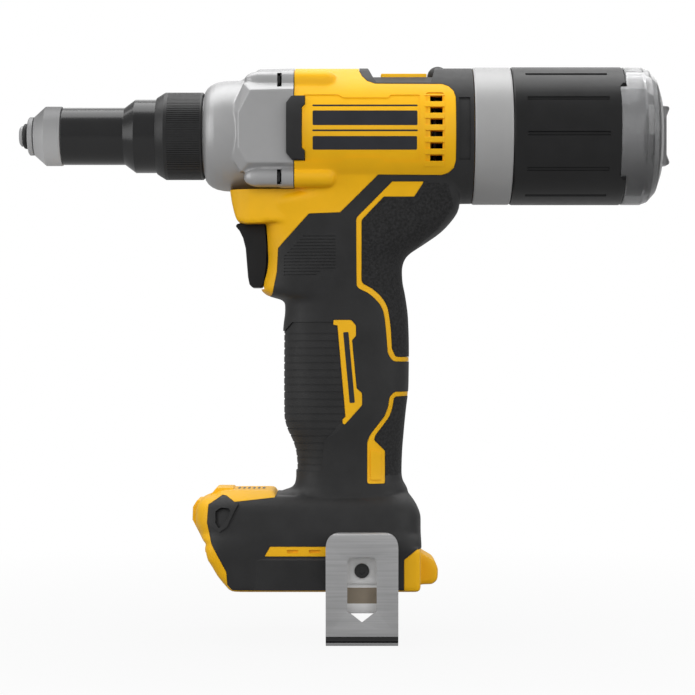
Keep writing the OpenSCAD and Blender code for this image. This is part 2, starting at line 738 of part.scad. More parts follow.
module jaw_spring() {
  mid_r = (pusher_stem_r + screw_r) / 2 + run_fit;
  color("#9a9c9f") coil(mid_r, jaw_wire, pusher_x + pusher_t + run_fit, screw_x - run_fit, jaw_coils);
}

module ball_screw() {
  color("#a6a8ab") difference() {
    band(screw_bore_r, screw_r, screw_x, screw_end);
    for (s = [0, 180]) rotate([s, 0, 0]) translate([key_x, 0, screw_r - key_r])
      cylinder(h = key_r + over, r = key_r + run_fit);
  }
}

module anti_rotation_keys() {
  color("#55585c") for (s = [0, 180]) rotate([s, 0, 0]) translate([key_x, 0, screw_r - key_r + run_fit])
    cylinder(h = key_reach - screw_r + key_r, r = key_r);
}

module gear_case() {
  head_x = shell_x - boss_flange_len;
  color("#a7a9ab") difference() {
    union() {
      lathe([
        [0, guide_x], [guide_r, guide_x], [guide_r, snout_x], [snout_r, snout_x], [snout_r, case_x],
        [collar_r, case_x], [collar_r * 1.1, case_x + case_len * 0.05],
        [case_r * 0.95, case_x + case_len * 0.12],
        [case_r * 0.985, case_x + case_len * 0.19], [case_r, case_x + case_len * 0.3],
        [case_r, shell_x - gap],
        [0, shell_x - gap]
      ]);
      for (p = case_spots()) translate([0, p[0], p[1]]) lathe([
        [0, case_x + case_len * 0.32], [boss_r * 0.5, case_x + case_len * 0.32],
        [boss_r, case_x + case_len * 0.5],
        [boss_r, shell_x - gap], [0, shell_x - gap]
      ]);
    }
    lathe([
      [0, guide_x - over], [nose_bore_r, guide_x - over], [nose_bore_r, thrust_x], [case_bore_r, thrust_x],
      [case_bore_r, shell_x + over], [0, shell_x + over]
    ]);
    for (p = case_spots()) {
      rod(case_screw_r + gap, head_x - over, shell_x + over, p[0], p[1]);
      rod(case_head_r + gap, case_x + case_len * 0.2, head_x, p[0], p[1]);
    }
    block([key_x - key_r - gap, -key_r - gap, -guide_r - over],
      [thrust_x + over, key_r + gap, guide_r + over]);
  }
}

module gear_case_screws() {
  head_x = shell_x - boss_flange_len;
  color("#1d1e20") for (p = case_spots()) {
    rod(case_head_r, head_x - case_head_len, head_x, p[0], p[1]);
    rod(case_screw_r, head_x - run_fit, shell_x + shell_boss_len * 0.7, p[0], p[1]);
  }
}

module thrust_bearing() {
  washer = thrust_len / 4;
  r0 = nut_r * 0.8;
  r1 = case_bore_r - gap;
  rollers = 18;
  color("#b9babc") {
    band(r0, r1, thrust_x + run_fit, thrust_x + washer);
    band(r0, r1, thrust_x + thrust_len - washer, thrust_x + thrust_len);
    for (i = [0:rollers - 1]) rotate([360 * i / rollers, 0, 0])
      translate([thrust_x + thrust_len / 2, 0, r0 + washer])
        cylinder(h = r1 - r0 - washer * 2, r = thrust_len / 4 - run_fit, $fn = 24);
  }
}

module nut_bearing() {
  color("#adafb2") band(nut_r + run_fit, case_bore_r - run_fit, nut_x + nut_len * 0.35,
    nut_x + nut_len * 0.6);
}

module ball_nut() {
  color("#8f9296") lathe([
    [screw_r + run_fit, nut_x], [nut_r, nut_x], [nut_r, carrier_x - run_fit],
    [screw_r + run_fit, carrier_x - run_fit]
  ]);
}

module planet_carrier() {
  color("#7f8286") union() {
    band(shaft_bore_r, carrier_r + planet_pitch_r * 0.7, carrier_x, carrier_x + carrier_t);
    for (i = [0:2]) rotate([120 * i, 0, 0])
      rod(pin_r, carrier_x + carrier_t / 2, gear_x + gear_len, 0, carrier_r);
  }
}

// The planets' teeth are turned so that they mesh with the sun and the ring at rest.
module planet_gear(i) {
  turn = 120 * i;
  mesh = planet_teeth % 2 == 0 ? 180 / planet_teeth : 0;
  color("#9fa1a4") rotate([turn, 0, 0]) translate([0, 0, carrier_r]) difference() {
    rotate([mesh, 0, 0]) rotate([90, 0, 0]) gear(planet_teeth, gear_x + gap, gear_x + gear_len - gap);
    rod(pin_r + run_fit, gear_x - over, gear_x + gear_len + over);
  }
}

module planet_gear_1() {
  planet_gear(0);
}

module planet_gear_2() {
  planet_gear(1);
}

module planet_gear_3() {
  planet_gear(2);
}

module ring_gear() {
  color("#84878b") difference() {
    rod(front_cavity_r - run_fit, carrier_x + gap, bracket_x - gap);
    for (p = case_spots()) rod(case_screw_r + gap, carrier_x, bracket_x, p[0], p[1]);
    translate([carrier_x, 0, 0]) rotate([90, 0, 90]) linear_extrude(bracket_x - carrier_x)
      rotate(90 + (planet_teeth % 2 == 0 ? 180 / ring_teeth : 0))
        polygon(gear_points(ring_teeth, gear_module * 1.25, gear_module, -backlash));
  }
}

module motor_shaft() {
  color("#9b9da0") difference() {
    union() {
      rotate([90, 0, 0]) gear(sun_teeth, gear_x + gap, gear_x + gear_len);
      rod(shaft_r - gear_module, gear_x + gear_len - over, shaft_end);
      rod(shaft_r, bracket_x + gap, shaft_end);
    }
    rod(shaft_bore_r, gear_x - over, shaft_end + over);
  }
}

module rotor_core() {
  color("#6a6d70") band(shaft_r + run_fit, rotor_r - magnet_t - run_fit, stack_x, stack_x + stack_len);
}

module rotor_magnets() {
  color("#494c50") difference() {
    band(rotor_r - magnet_t, rotor_r, stack_x, stack_x + stack_len);
    for (a = [0:45:135]) rotate([a, 0, 0])
      block([stack_x - over, -rotor_r - over, -gap], [stack_x + stack_len + over, rotor_r + over, gap]);
  }
}

module cooling_fan() {
  hub = shaft_r + fan_len / 3;
  color("#2f3033") union() {
    band(shaft_r + run_fit, hub, fan_x, fan_x + fan_len);
    band(hub - run_fit, fan_r, fan_x, fan_x + fan_len / 5);
    for (i = [0:fan_blades - 1]) rotate([360 * i / fan_blades, 0, 0])
      block([fan_x, -fan_len / 12, hub - run_fit], [fan_x + fan_len, fan_len / 12, fan_r - gap]);
  }
}

module stator_core() {
  root_r = stator_r * yoke_share;
  neck = stator_bore_r * PI / stator_teeth * 0.5;
  color("#5b5e62") union() {
    band(root_r, stator_r, stack_x, stack_x + stack_len);
    for (i = [0:stator_teeth - 1]) rotate([360 * i / stator_teeth, 0, 0]) intersection() {
      band(stator_bore_r, root_r + run_fit, stack_x, stack_x + stack_len);
      block([stack_x, -neck, stator_bore_r * 0.8], [stack_x + stack_len, neck, stator_r]);
    }
  }
}

module stator_coils() {
  r0 = stator_bore_r + gap * 2;
  r1 = stator_r * yoke_share - gap;
  color("#b06a34") {
    band(r0, r1, stack_x - coil_len, stack_x - run_fit);
    band(r0, r1, stack_x + stack_len + run_fit, coil_end);
  }
}

module motor_bracket() {
  color("#6f7275") band(bearing_r + run_fit, front_cavity_r - run_fit, bracket_x, bracket_x + bracket_t);
}

module front_bearing() {
  color("#b4b6b8") band(shaft_r + run_fit, bearing_r, bracket_x + run_fit, bracket_x + bracket_t - run_fit);
}

module rear_bearing() {
  color("#b4b6b8") band(shaft_r + run_fit, bearing_r, rear_bearing_x, shaft_end);
}

module guide_tube() {
  color("#a3a5a8") band(tube_r - tube_wall, tube_r, tube_x, tube_end);
}

module rear_ring() {
  rear = spigot_x + spigot_len;
  color("#c3c5c4") lathe([
    [tube_r + run_fit, web_x], [bearing_r + run_fit, web_x], [bearing_r + run_fit, rear_bearing_x],
    [rear_cavity_r - run_fit, rear_bearing_x], [rear_cavity_r - run_fit, ring_x], [ring_r - gap, ring_x],
    [ring_r, ring_x + gap], [ring_r, spigot_x - gap], [ring_r - gap, spigot_x], [spigot_r, spigot_x],
    [spigot_r, seal_x - seal_r], [seal_mid_r - seal_r - run_fit, seal_x - seal_r],
    [seal_mid_r - seal_r - run_fit, seal_x + seal_r], [spigot_r, seal_x + seal_r], [spigot_r, rear],
    [spigot_r - cup_wall, rear], [spigot_r - cup_wall, web_x + web_t], [tube_r + run_fit, web_x + web_t]
  ]);
}

module collector_seal() {
  color("#101010") rotate([0, 90, 0]) rotate_extrude($fn = 96) translate([seal_mid_r,
    seal_x]) circle(seal_r, $fn = 32);
}

module collector_lock_ring() {
  color("#3a3c3f") band(spigot_r + run_fit, cup_bore_r - run_fit, spigot_x + gap, seal_x - seal_r * 2);
}

module collector_cup() {
  front = spigot_x + gap * 2;
  color("#8f9493", 0.6) lathe([
    [cup_bore_r, front], [cup_r, front], [cup_r, tail_x], [ring_r, tail_x],
    [ring_r, tail_x + cup_tail_len * 0.46],
    [ring_r * 0.9, tail_x + cup_tail_len * 0.76], [ring_r * 0.76, end_x - gap], [ring_r * 0.7, end_x],
    [plug_r + run_fit, end_x], [plug_r + run_fit, end_x - cup_wall], [ring_r * 0.7, end_x - cup_wall],
    [ring_r * 0.85, tail_x + cup_tail_len * 0.745], [cup_bore_r, tail_x + cup_tail_len * 0.4]
  ]);
}

module collector_sleeve() {
  rear = tail_x - run_fit;
  color("#2d2e30") difference() {
    band(cup_r + run_fit, ring_r, spigot_x + gap, rear);
    for (i = [0:flute_count - 1]) rotate([360 * (i + 0.5) / flute_count, 0, 0])
      rod(flute_w / 2, spigot_x + collector_len * 0.25, tail_x - collector_len * 0.14, 0,
        ring_r + flute_w * 0.18);
  }
}

module collector_plug() {
  color("#7c8180") union() {
    rod(plug_r, end_x - cup_wall, end_x + run_fit);
    rod(plug_r * 1.05, end_x + run_fit, end_x + bar_t * 0.3);
    intersection() {
      rod(bar_len / 2, end_x + bar_t * 0.2, end_x + bar_t);
      block([end_x, -plug_r * 0.6, -bar_len], [end_x + bar_t * 2, plug_r * 0.6, bar_len]);
    }
  }
}

// Screw boss places on the left half, with how far each boss reaches sideways.
module each_boss(reach_neck, reach_grip, reach_foot) {
  for (s = neck_spot_shares) let(p = neck_point(s)) pin(screw_head_r + shell_wall / 2, -reach_neck,
    -split, p[0], p[1]);
  for (s = grip_spot_shares) let(p = neck_point(s)) pin(screw_head_r + shell_wall / 2, -reach_grip,
    -split, p[0], p[1]);
  for (s = foot_spot_shares) let(p = foot_point(s)) pin(screw_head_r + shell_wall / 2, -reach_foot,
    -split, p[0], p[1]);
}

neck_reach = handle_width * 0.44;
grip_reach = handle_width * 0.385;
foot_reach = foot_y * 0.82;

// Screw bores, with head recesses on the far half.
module screw_cuts(far) {
  module cut(p, reach) {
    pin(screw_thread_r + run_fit, -reach * 0.6, over, p[0], p[1]);
    if (far) pin(screw_head_r + gap, -foot_y - over, -reach * 0.72, p[0], p[1]);
    if (far) pin(screw_thread_r + run_fit, -reach, over, p[0], p[1]);
  }
  for (s = neck_spot_shares) cut(neck_point(s), neck_reach);
  for (s = grip_spot_shares) cut(neck_point(s), grip_reach);
  for (s = foot_spot_shares) cut(foot_point(s), foot_reach);
}

module clamshell_screws() {
  module one(p, reach) {
    seat = reach * 0.72 + run_fit;
    pin(screw_thread_r, -reach * 0.5, seat + screw_head_len / 2, p[0], p[1]);
    pin(screw_head_r, seat, seat + screw_head_len, p[0], p[1]);
  }
  color("#26272a") {
    for (s = neck_spot_shares) one(neck_point(s), neck_reach);
    for (s = grip_spot_shares) one(neck_point(s), grip_reach);
    for (s = foot_spot_shares) one(foot_point(s), foot_reach);
  }
}

// Yellow half on the left: barrel, neck, handle, hood and foot with the battery channel's rail.
module clamshell(far = false) {
  rail_in = channel_w / 2 - rail_w;
  difference() {
    union() {
      difference() {
        union() {
          half_lathe([[0, shell_x], [barrel_r, shell_x], [barrel_r, shell_x + barrel_len],
            [0, shell_x + barrel_len]]);
          neck_shell(soft_t, soft_t + shell_wall);
          side_plate(
            [for (s = hood_shares) [case_x + (s[0] - 0.02) * case_len, s[1] * trigger_drop]],
            -handle_width * 0.42, -split
          );
          for (p = case_spots()) if (p[0] < 0) {
            rod(boss_r, shell_x, shell_x + shell_boss_len, p[0], p[1]);
            translate([shell_x + shell_boss_len, p[0], p[1]]) sphere(boss_r);
          }
        }
        rod(front_cavity_r, shell_x - over, step_x);
        rod(rear_cavity_r, shell_x - over, shell_x + barrel_len + over);
        rod(case_r + gap, case_x - over, shell_x);
        for (p = case_spots()) rod(boss_r + gap, case_x, shell_x, p[0], p[1]);
        block([saddle_x, -barrel_r, flat_z - soft_t - split],
          [collar_front + vent_len / 2, over, barrel_r + over]);
        block(
          [case_x, -trigger_w / 2 - gap, -trigger_drop - trigger_h - gap * 3],
          [switch_x, over, -trigger_drop + gap * 3]
        );
      }
      intersection() {
        difference() {
          foot_body(0);
          difference() {
            foot_soft_area();
            foot_body(soft_t);
          }
          block(
            [foot_x - over, -channel_w / 2, foot_bottom + rail_h],
            [foot_x + foot_len * 0.9, over, channel_top]
          );
          block([foot_x - over, -rail_in, foot_bottom - over],
            [foot_x + foot_len * 0.9, over, foot_bottom + rail_h]);
          block(
            [lamp_x, -foot_y * 0.8, channel_top + floor_t],
            [foot_x + foot_len * 0.94, over, foot_z - foot_h * 0.2]
          );
          block(
            [handle_x - handle_depth * 0.3, -handle_width * 0.35, channel_top + floor_t],
            [handle_x + handle_depth * 0.32, over, foot_z + over]
          );
        }
        block([foot_x - over, -foot_y - over, foot_bottom - over],
          [foot_x + foot_len * 2, 0, foot_z + over]);
      }
      side_plate([for (s = heel_shares) foot_point(s)], -foot_y * 0.36, -split);
      each_boss(neck_reach, grip_reach, foot_reach);
    }
    for (p = case_spots()) rod(case_screw_r + run_fit, shell_x - over, shell_x + shell_boss_len * 0.75,
      p[0], p[1]);
    for (i = [0:vent_count - 1]) let(z = (i - vent_count * 0.37) * vent_pitch)
      block([fan_x, -barrel_r - over, z - vent_h / 2],
        [fan_x + vent_len, -rear_cavity_r * 0.7, z + vent_h / 2]);
    screw_cuts(far);
    pin(insert_r + run_fit, -foot_y - over, -foot_y + soft_t + insert_len, hook_x, hook_z);
    block(
      [foot_x - over, -lens_w / 2 - gap, lamp_z - lens_h / 2 - gap],
      [lamp_x + over, over, lamp_z + lens_h / 2 + gap]
    );
    side_plate(
      [for (s = bumper_shares) [shell_x + s[0] * ring_r, s[1] * ring_r]], -ring_r - over,
      -barrel_r + shell_wall * 0.6
    );
  }
}

module left_clamshell() {
  color("#f0a810") clamshell();
}

module right_clamshell() {
  color("#f0a810") mirror([0, 1, 0]) clamshell(true);
}

module grip_overmould(far = false) {
  difference() {
    intersection() {
      neck_shell(0, soft_t - split);
      side_plate([for (s = grip_shares) neck_point(s)], -foot_y, over);
    }
    side_plate([for (s = stripe_shares) neck_point(s)], -foot_y, -handle_width * 0.2);
    side_plate([for (s = plate_shares) neck_point(s)], -foot_y, -handle_width * 0.2);
    rod(barrel_r + run_fit, shell_x - over, ring_x);
    block([foot_x, -foot_y - over, foot_bottom], [foot_x + foot_len + over, over, foot_z + gap]);
    if (far) screw_cuts(true);
  }
}

module left_grip_overmould() {
  color("#2b2c2e") grip_overmould();
}

module right_grip_overmould() {
  color("#2b2c2e") mirror([0, 1, 0]) grip_overmould(true);
}

// Soft saddle on the flat top and soft collar round the barrel's rear, open at the side panel and at the
// neck.
module barrel_overmould() {
  rear = shell_x + barrel_len;
  floor_z = flat_z - soft_t;
  wide = sqrt(barrel_r * barrel_r - floor_z * floor_z);
  difference() {
    union() {
      half_lathe([[barrel_r + split, collar_front], [ring_r, collar_front], [ring_r, rear],
        [barrel_r + split, rear]]);
      intersection() {
        union() {
          block([saddle_x + gap, -wide, floor_z], [collar_front + over, -split, flat_z]);
          block([collar_front, -wide, floor_z], [collar_front + vent_len / 2 - split, -split, ring_r]);
        }
        rod(ring_r, saddle_x, rear, $fn = 96);
      }
    }
    side_plate(
      [[saddle_x, -ring_r * 0.56], [rear - vent_len * 1.2, -ring_r * 0.56],
      [rear - vent_len * 0.6, -ring_r * 0.4],
        [rear - vent_len * 0.6, ring_r * 0.6], [rear - vent_len * 1.2, ring_r * 0.76],
        [saddle_x, ring_r * 0.76]],
      -foot_y, -barrel_r * 0.4
    );
    block([collar_front - over, -handle_width * 0.7, -ring_r - over], [rear + over, over, -ring_r * 0.5]);
  }
}

module left_barrel_overmould() {
  color("#2b2c2e") barrel_overmould();
}

module right_barrel_overmould() {
  color("#2b2c2e") mirror([0, 1, 0]) barrel_overmould();
}

module foot_overmould(far = false) {
  difference() {
    intersection() {
      foot_body(0);
      foot_soft_area();
    }
    foot_body(soft_t - split);
    block(
      [handle_x - handle_depth * 0.45, -handle_width * 0.54, neck_z - handle_len - split],
      [handle_x + handle_depth * 0.5, over, foot_z + over]
    );
    pin(insert_r + run_fit, -foot_y - over, 0, hook_x, hook_z);
    if (far) screw_cuts(true);
  }
}

module left_foot_overmould() {
  color("#2b2c2e") foot_overmould();
}

module right_foot_overmould() {
  color("#2b2c2e") mirror([0, 1, 0]) foot_overmould(true);
}

module side_bumpers() {
  color("#242527") for (s = [0, 1]) mirror([0, s, 0]) intersection() {
    side_plate(
      [for (p = bumper_shares) [shell_x + p[0] * ring_r * 0.98, p[1] * ring_r * 0.98]], -ring_r,
      -barrel_r + shell_wall * 0.6 - run_fit
    );
    rod(ring_r, case_x, ring_x, $fn = 240);
  }
}

module trigger() {
  top = [trigger_x, -trigger_drop];
  color("#2e2f31") union() {
    side_plate([for (s = trigger_shares) top + s * trigger_h], -trigger_w / 2, trigger_w / 2);
    block(
      [trigger_x - plunger_r, -trigger_w * 0.35, plunger_z - trigger_h * 0.3],
      [tail_end, trigger_w * 0.35, plunger_z + trigger_h * 0.3]
    );
    rod(plunger_r, tail_end - over, switch_x + trigger_pull, 0, plunger_z);
  }
}

module trigger_spring() {
  color("#b0b2b4") translate([0, 0, plunger_z])
    coil(plunger_r + trigger_wire * 0.8, trigger_wire, tail_end + run_fit, switch_x - run_fit,
      trigger_coils);
}

module switch_body() {
  depth = trigger_h * 0.75;
  color("#1f2023") difference() {
    block(
      [switch_x, -trigger_w * 0.55, plunger_z - trigger_h * 0.5], [switch_x + depth, trigger_w * 0.55,
        plunger_z + trigger_h * 0.5]
    );
    rod(plunger_r + gap, switch_x - over, switch_x + trigger_pull * 2 + over, 0, plunger_z);
  }
}

module control_board() {
  color("#1f5a3a") block(
    [foot_x + foot_len * 0.3, -foot_y * 0.7, board_z],
    [foot_x + foot_len * 0.84, foot_y * 0.7, board_z + hook_t]
  );
}

module terminal_block() {
  x0 = foot_x + foot_len * 0.62;
  color("#1c1d1f") union() {
    block([x0, -terminal_w / 2, channel_top - channel_h * 0.55],
      [x0 + foot_len * 0.2, terminal_w / 2, channel_top - gap]);
  }
}

module terminal_blades() {
  x0 = foot_x + foot_len * 0.62;
  pitch = terminal_w / blade_count;
  color("#c9a24a") for (i = [0:blade_count - 1]) let(y = (i - (blade_count - 1) / 2) * pitch)
    block(
      [x0 - foot_len * 0.14, y - hook_t / 4, channel_top - channel_h * 0.5],
      [x0 - run_fit, y + hook_t / 4, channel_top - channel_h * 0.1]
    );
}

module lamp_board() {
  color("#1f5a3a") block(
    [lamp_x + gap, -lens_w * 0.6, lamp_z - lens_h / 2],
    [lamp_x + gap + hook_t, lens_w * 0.6, lamp_z + lens_h / 2]
  );
}

module lamp_lens() {
  color("#e4e8ea") block(
    [foot_x + hook_t * 0.4, -lens_w / 2, lamp_z - lens_h / 2],
    [lamp_x - gap, lens_w / 2, lamp_z + lens_h / 2]
  );
}

module belt_hook() {
  half = hook_w / 2;
  leg_half = half * 0.58;
  bend_y = leg_y - bend_r;
  bend_z = hook_top - bend_r;
  slot_w = hook_w * 0.2;
  color("#8f9295") difference() {
    intersection() {
      translate([hook_x - half, 0, 0]) union() {
        translate([0, bend_y, bend_z]) rotate([0, 90, 0]) difference() {
          cylinder(h = hook_w, r = bend_r);
          translate([0, 0, -over]) cylinder(h = hook_w + over * 2, r = bend_r - hook_t);
          translate([0, -bend_r * 2, -over]) cube([bend_r * 2, bend_r * 4, hook_w + over * 2]);
        }
        block([0, plate_y - hook_t, hook_bottom], [hook_w, plate_y, bend_z]);
        block([half - leg_half, leg_y - hook_t, hook_z - hook_head_r * 1.7],
          [half + leg_half, leg_y, bend_z]);
      }
      side_plate(
        [[hook_x - half, hook_bottom], [hook_x + half, hook_bottom], [hook_x + half, hook_top - bend_r],
          [hook_x + half * 0.86, hook_top - bend_r * 0.3], [hook_x + half * 0.58, hook_top],
          [hook_x - half * 0.58, hook_top], [hook_x - half * 0.86, hook_top - bend_r * 0.3],
          [hook_x - half, hook_top - bend_r]],
        plate_y - hook_t * 2, leg_y + over
      );
    }
    side_plate(
      [[hook_x - slot_w, hook_z + hook_h * 0.13], [hook_x + slot_w, hook_z + hook_h * 0.13],
        [hook_x + slot_w, hook_z - hook_h * 0.35], [hook_x, hook_z - hook_h * 0.45],
        [hook_x - slot_w, hook_z - hook_h * 0.35]],
      plate_y - hook_t - over, plate_y + over
    );
    pin(hook_screw_r + run_fit, leg_y - hook_t - over, leg_y + over, hook_x, hook_z);
  }
}

module hook_screw() {
  head_y = leg_y - hook_t - run_fit;
  color("#202124") {
    pin(hook_head_r, head_y - hook_t, head_y, hook_x, hook_z);
    pin(hook_screw_r, head_y - run_fit, -foot_y + soft_t + insert_len * 0.8, hook_x, hook_z);
  }
}

module hook_inserts() {
  color("#b9954a") for (s = [0, 1]) mirror([0, s, 0]) difference() {
    pin(insert_r, -foot_y + run_fit, -foot_y + soft_t + insert_len - run_fit, hook_x, hook_z);
    pin(hook_screw_r + run_fit, -foot_y - over, 0, hook_x, hook_z);
  }
}

nosepiece();
nose_o_ring();
nose_cap();
nose_sleeve();
nose_collar();
jaw_case();
jaw_1();
jaw_2();
jaw_3();
jaw_pusher();
jaw_spring();
ball_screw();
anti_rotation_keys();
gear_case();
gear_case_screws();
thrust_bearing();
nut_bearing();
ball_nut();
planet_carrier();
planet_gear_1();
planet_gear_2();
planet_gear_3();
ring_gear();
motor_shaft();
rotor_core();
rotor_magnets();
cooling_fan();
stator_core();
stator_coils();
motor_bracket();
front_bearing();
rear_bearing();
guide_tube();
rear_ring();
collector_seal();
collector_lock_ring();
collector_cup();
collector_sleeve();
collector_plug();
left_clamshell();
right_clamshell();
left_grip_overmould();
right_grip_overmould();
left_barrel_overmould();
right_barrel_overmould();
left_foot_overmould();
right_foot_overmould();
clamshell_screws();
side_bumpers();
trigger();
trigger_spring();
switch_body();
control_board();
terminal_block();
terminal_blades();
lamp_board();
lamp_lens();
belt_hook();
hook_screw();
hook_inserts();
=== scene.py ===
import json
from math import cos, pi, radians, sin, tan

import bmesh
import bpy
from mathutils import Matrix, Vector


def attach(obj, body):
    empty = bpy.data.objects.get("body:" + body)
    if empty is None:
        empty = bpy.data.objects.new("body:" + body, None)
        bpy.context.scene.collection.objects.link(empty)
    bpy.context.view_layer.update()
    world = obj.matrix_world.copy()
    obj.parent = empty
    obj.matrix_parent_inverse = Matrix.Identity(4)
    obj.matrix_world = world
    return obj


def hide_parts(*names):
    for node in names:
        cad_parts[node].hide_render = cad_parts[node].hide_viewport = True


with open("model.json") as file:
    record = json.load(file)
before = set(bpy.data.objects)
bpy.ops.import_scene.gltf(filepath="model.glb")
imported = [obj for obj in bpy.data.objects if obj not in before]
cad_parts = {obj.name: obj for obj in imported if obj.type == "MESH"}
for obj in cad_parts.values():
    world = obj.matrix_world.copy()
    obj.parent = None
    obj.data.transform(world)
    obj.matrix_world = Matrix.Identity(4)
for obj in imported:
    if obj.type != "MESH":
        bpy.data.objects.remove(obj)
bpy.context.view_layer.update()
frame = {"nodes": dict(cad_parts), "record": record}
scene = bpy.context.scene
MM = 0.001

# Sizes shared by the pieces, in millimetres.
SKIN = 1.0
BARREL_R = 30.7
SHELL_FRONT = 129.55
SHELL_REAR = 211.9
PARTING = 0.06
HOOK_FRONT, HOOK_BACK = 144.1, 176.7
HOOK_THICKNESS = 1.8
HOOK_BEND = 1.2
HOOK_SCREW_X, HOOK_SCREW_HEAD, HOOK_SCREW_Z = 160.4, -37.55, -200.36
QUARTER_TURN = [radians(a) for a in range(0, 91, 15)]

# Limits of the outline tools.
MERGE = 1e-7
TOO_SHORT = 1e-6
NEARLY_STRAIGHT = radians(176)
EDGE_SHARE = 0.48
MITRE_LIMIT = 0.35


# Mesh building.

def link(name, data):
    obj = bpy.data.objects.new(name, data)
    scene.collection.objects.link(obj)
    return obj


def tidy_mesh(mesh):
    bm = bmesh.new()
    bm.from_mesh(mesh)
    bmesh.ops.remove_doubles(bm, verts=bm.verts, dist=MERGE)
    bmesh.ops.dissolve_degenerate(bm, edges=bm.edges, dist=MERGE)
    bmesh.ops.recalc_face_normals(bm, faces=bm.faces)
    bm.to_mesh(mesh)
    bm.free()


def from_points(name, points, faces):
    mesh = bpy.data.meshes.new(name)
    mesh.from_pydata([(x * MM, y * MM, z * MM) for x, y, z in points], [], faces)
    tidy_mesh(mesh)
    return link(name, mesh)


def at_depth(outline, y):
    return [(x, y, z) for x, z in outline]


def bar_faces(n):
    """Faces of a straight bar: two ends of n points each and the walls between them."""
    ends = [tuple(range(n)), tuple(range(2 * n - 1, n - 1, -1))]
    return ends + [(i, (i + 1) % n, n + (i + 1) % n, n + i) for i in range(n)]


def prism(name, outline, y0, y1):
    """An outline of (x, z) points drawn out across the tool."""
    return from_points(name, at_depth(outline, y0) + at_depth(outline, y1), bar_faces(len(outline)))


def block(name, low, high):
    (x0, y0, z0), (x1, y1, z1) = low, high
    return prism(name, [(x0, z0), (x1, z0), (x1, z1), (x0, z1)], y0, y1)


def loft(name, rings):
    """A closed skin over rings of equally many points."""
    n = len(rings[0])
    points = [p for ring in rings for p in ring]
    faces = [tuple(range(n - 1, -1, -1)), tuple(range((len(rings) - 1) * n, len(rings) * n))]
    for k in range(len(rings) - 1):
        for i in range(n):
            a, b = k * n + i, k * n + (i + 1) % n
            faces.append((a, b, b + n, a + n))
    return from_points(name, points, faces)


def lathe(name, profile, steps=160, centre=(0, 0)):
    """Turns a closed profile of (station, radius) points about the pull axis or a parallel one."""
    n = len(profile)
    points = []
    for j in range(steps):
        a = 2 * pi * j / steps
        points += [(x, centre[0] + r * sin(a), centre[1] + r * cos(a)) for x, r in profile]
    faces = []
    for j in range(steps):
        k = (j + 1) % steps
        for i in range(n):
            m = (i + 1) % n
            if profile[i][1] == 0 and profile[m][1] == 0:
                continue
            faces.append((j * n + i, j * n + m, k * n + m, k * n + i))
    return from_points(name, points, faces)


def rod(name, r, x0, x1, y, z, steps):
    """A round bar along the pull axis or a parallel one."""
    return lathe(name, [(x0, 0), (x0, r), (x1, r), (x1, 0)], steps, (y, z))


def pin(name, r, y0, y1, x, z, steps=40):
    """A round bar across the tool."""
    outline = [(x + r * cos(2 * pi * i / steps), z + r * sin(2 * pi * i / steps)) for i in range(steps)]
    return prism(name, outline, y0, y1)


def rounded(outline, radius, steps=4):
    """Rounds the corners of a closed outline by one radius or one for each corner."""
    out = []
    n = len(outline)
    radii = radius if isinstance(radius, list) else [radius] * n
    for i in range(n):
        p, a, b = (Vector(outline[k]) for k in (i, i - 1, (i + 1) % n))
        ua, ub = a - p, b - p
        if min(ua.length, ub.length) < TOO_SHORT:
            continue
        angle = ua.angle(ub, pi)
        if angle > NEARLY_STRAIGHT:
            out.append(tuple(p))
            continue
        back = min(radii[i] / tan(angle / 2), ua.length * EDGE_SHARE, ub.length * EDGE_SHARE)
        start, end = p + ua.normalized() * back, p + ub.normalized() * back
        for k in range(steps + 1):
            t = k / steps
            out.append(tuple(start * (1 - t) ** 2 + p * 2 * t * (1 - t) + end * t * t))
    return out


def inset(outline, distance):
    """Moves a closed outline inwards by a distance, or outwards when it is negative."""
    area = sum(a[0] * b[1] - b[0] * a[1] for a, b in zip(outline, outline[1:] + outline[:1]))
    side = 1 if area > 0 else -1
    out = []
    n = len(outline)
    for i in range(n):
        p, a, b = (Vector(outline[k]) for k in (i, i - 1, (i + 1) % n))
        da, db = (p - a).normalized(), (b - p).normalized()
        na, nb = Vector((-da.y, da.x)) * side, Vector((-db.y, db.x)) * side
        m = na + nb
        if m.length < 1e-4:
            out.append(tuple(p + na * distance))
            continue
        m.normalize()
        out.append(tuple(p + m * (distance / max(MITRE_LIMIT, m.dot(na)))))
    return out


def smooth_value(table, at):
    """Monotone cubic through (place, value) rows."""
    rows = sorted(table)
    xs, ys = [r[0] for r in rows], [r[1] for r in rows]
    if at <= xs[0]:
        return ys[0]
    if at >= xs[-1]:
        return ys[-1]
    slopes = [(ys[i + 1] - ys[i]) / (xs[i + 1] - xs[i]) for i in range(len(xs) - 1)]

    def tangent(i):
        if i == 0 or i == len(xs) - 1:
            return 0.0
        a, b = slopes[i - 1], slopes[i]
        return 0.0 if a * b <= 0 else 2 * a * b / (a + b)

    i = max(k for k in range(len(xs) - 1) if xs[k] <= at)
    h = xs[i + 1] - xs[i]
    t = (at - xs[i]) / h
    return (
        (2 * t ** 3 - 3 * t ** 2 + 1) * ys[i] + (t ** 3 - 2 * t ** 2 + t) * h * tangent(i)
        + (3 * t ** 2 - 2 * t ** 3) * ys[i + 1] + (t ** 3 - t ** 2) * h * tangent(i + 1)
    )


def squarish(front, back, half, power, z, count=64):
    """A level ring between an ellipse, at power 2, and a rectangle, at high powers."""
    ring = []
    for i in range(count):
        a = 2 * pi * i / count
        c, s = cos(a), sin(a)
        x = (front + back) / 2 + (back - front) / 2 * (abs(c) ** (2 / power)) * (1 if c >= 0 else -1)
        y = half * (abs(s) ** (2 / power)) * (1 if s >= 0 else -1)
        ring.append((x, y, z))
    return ring


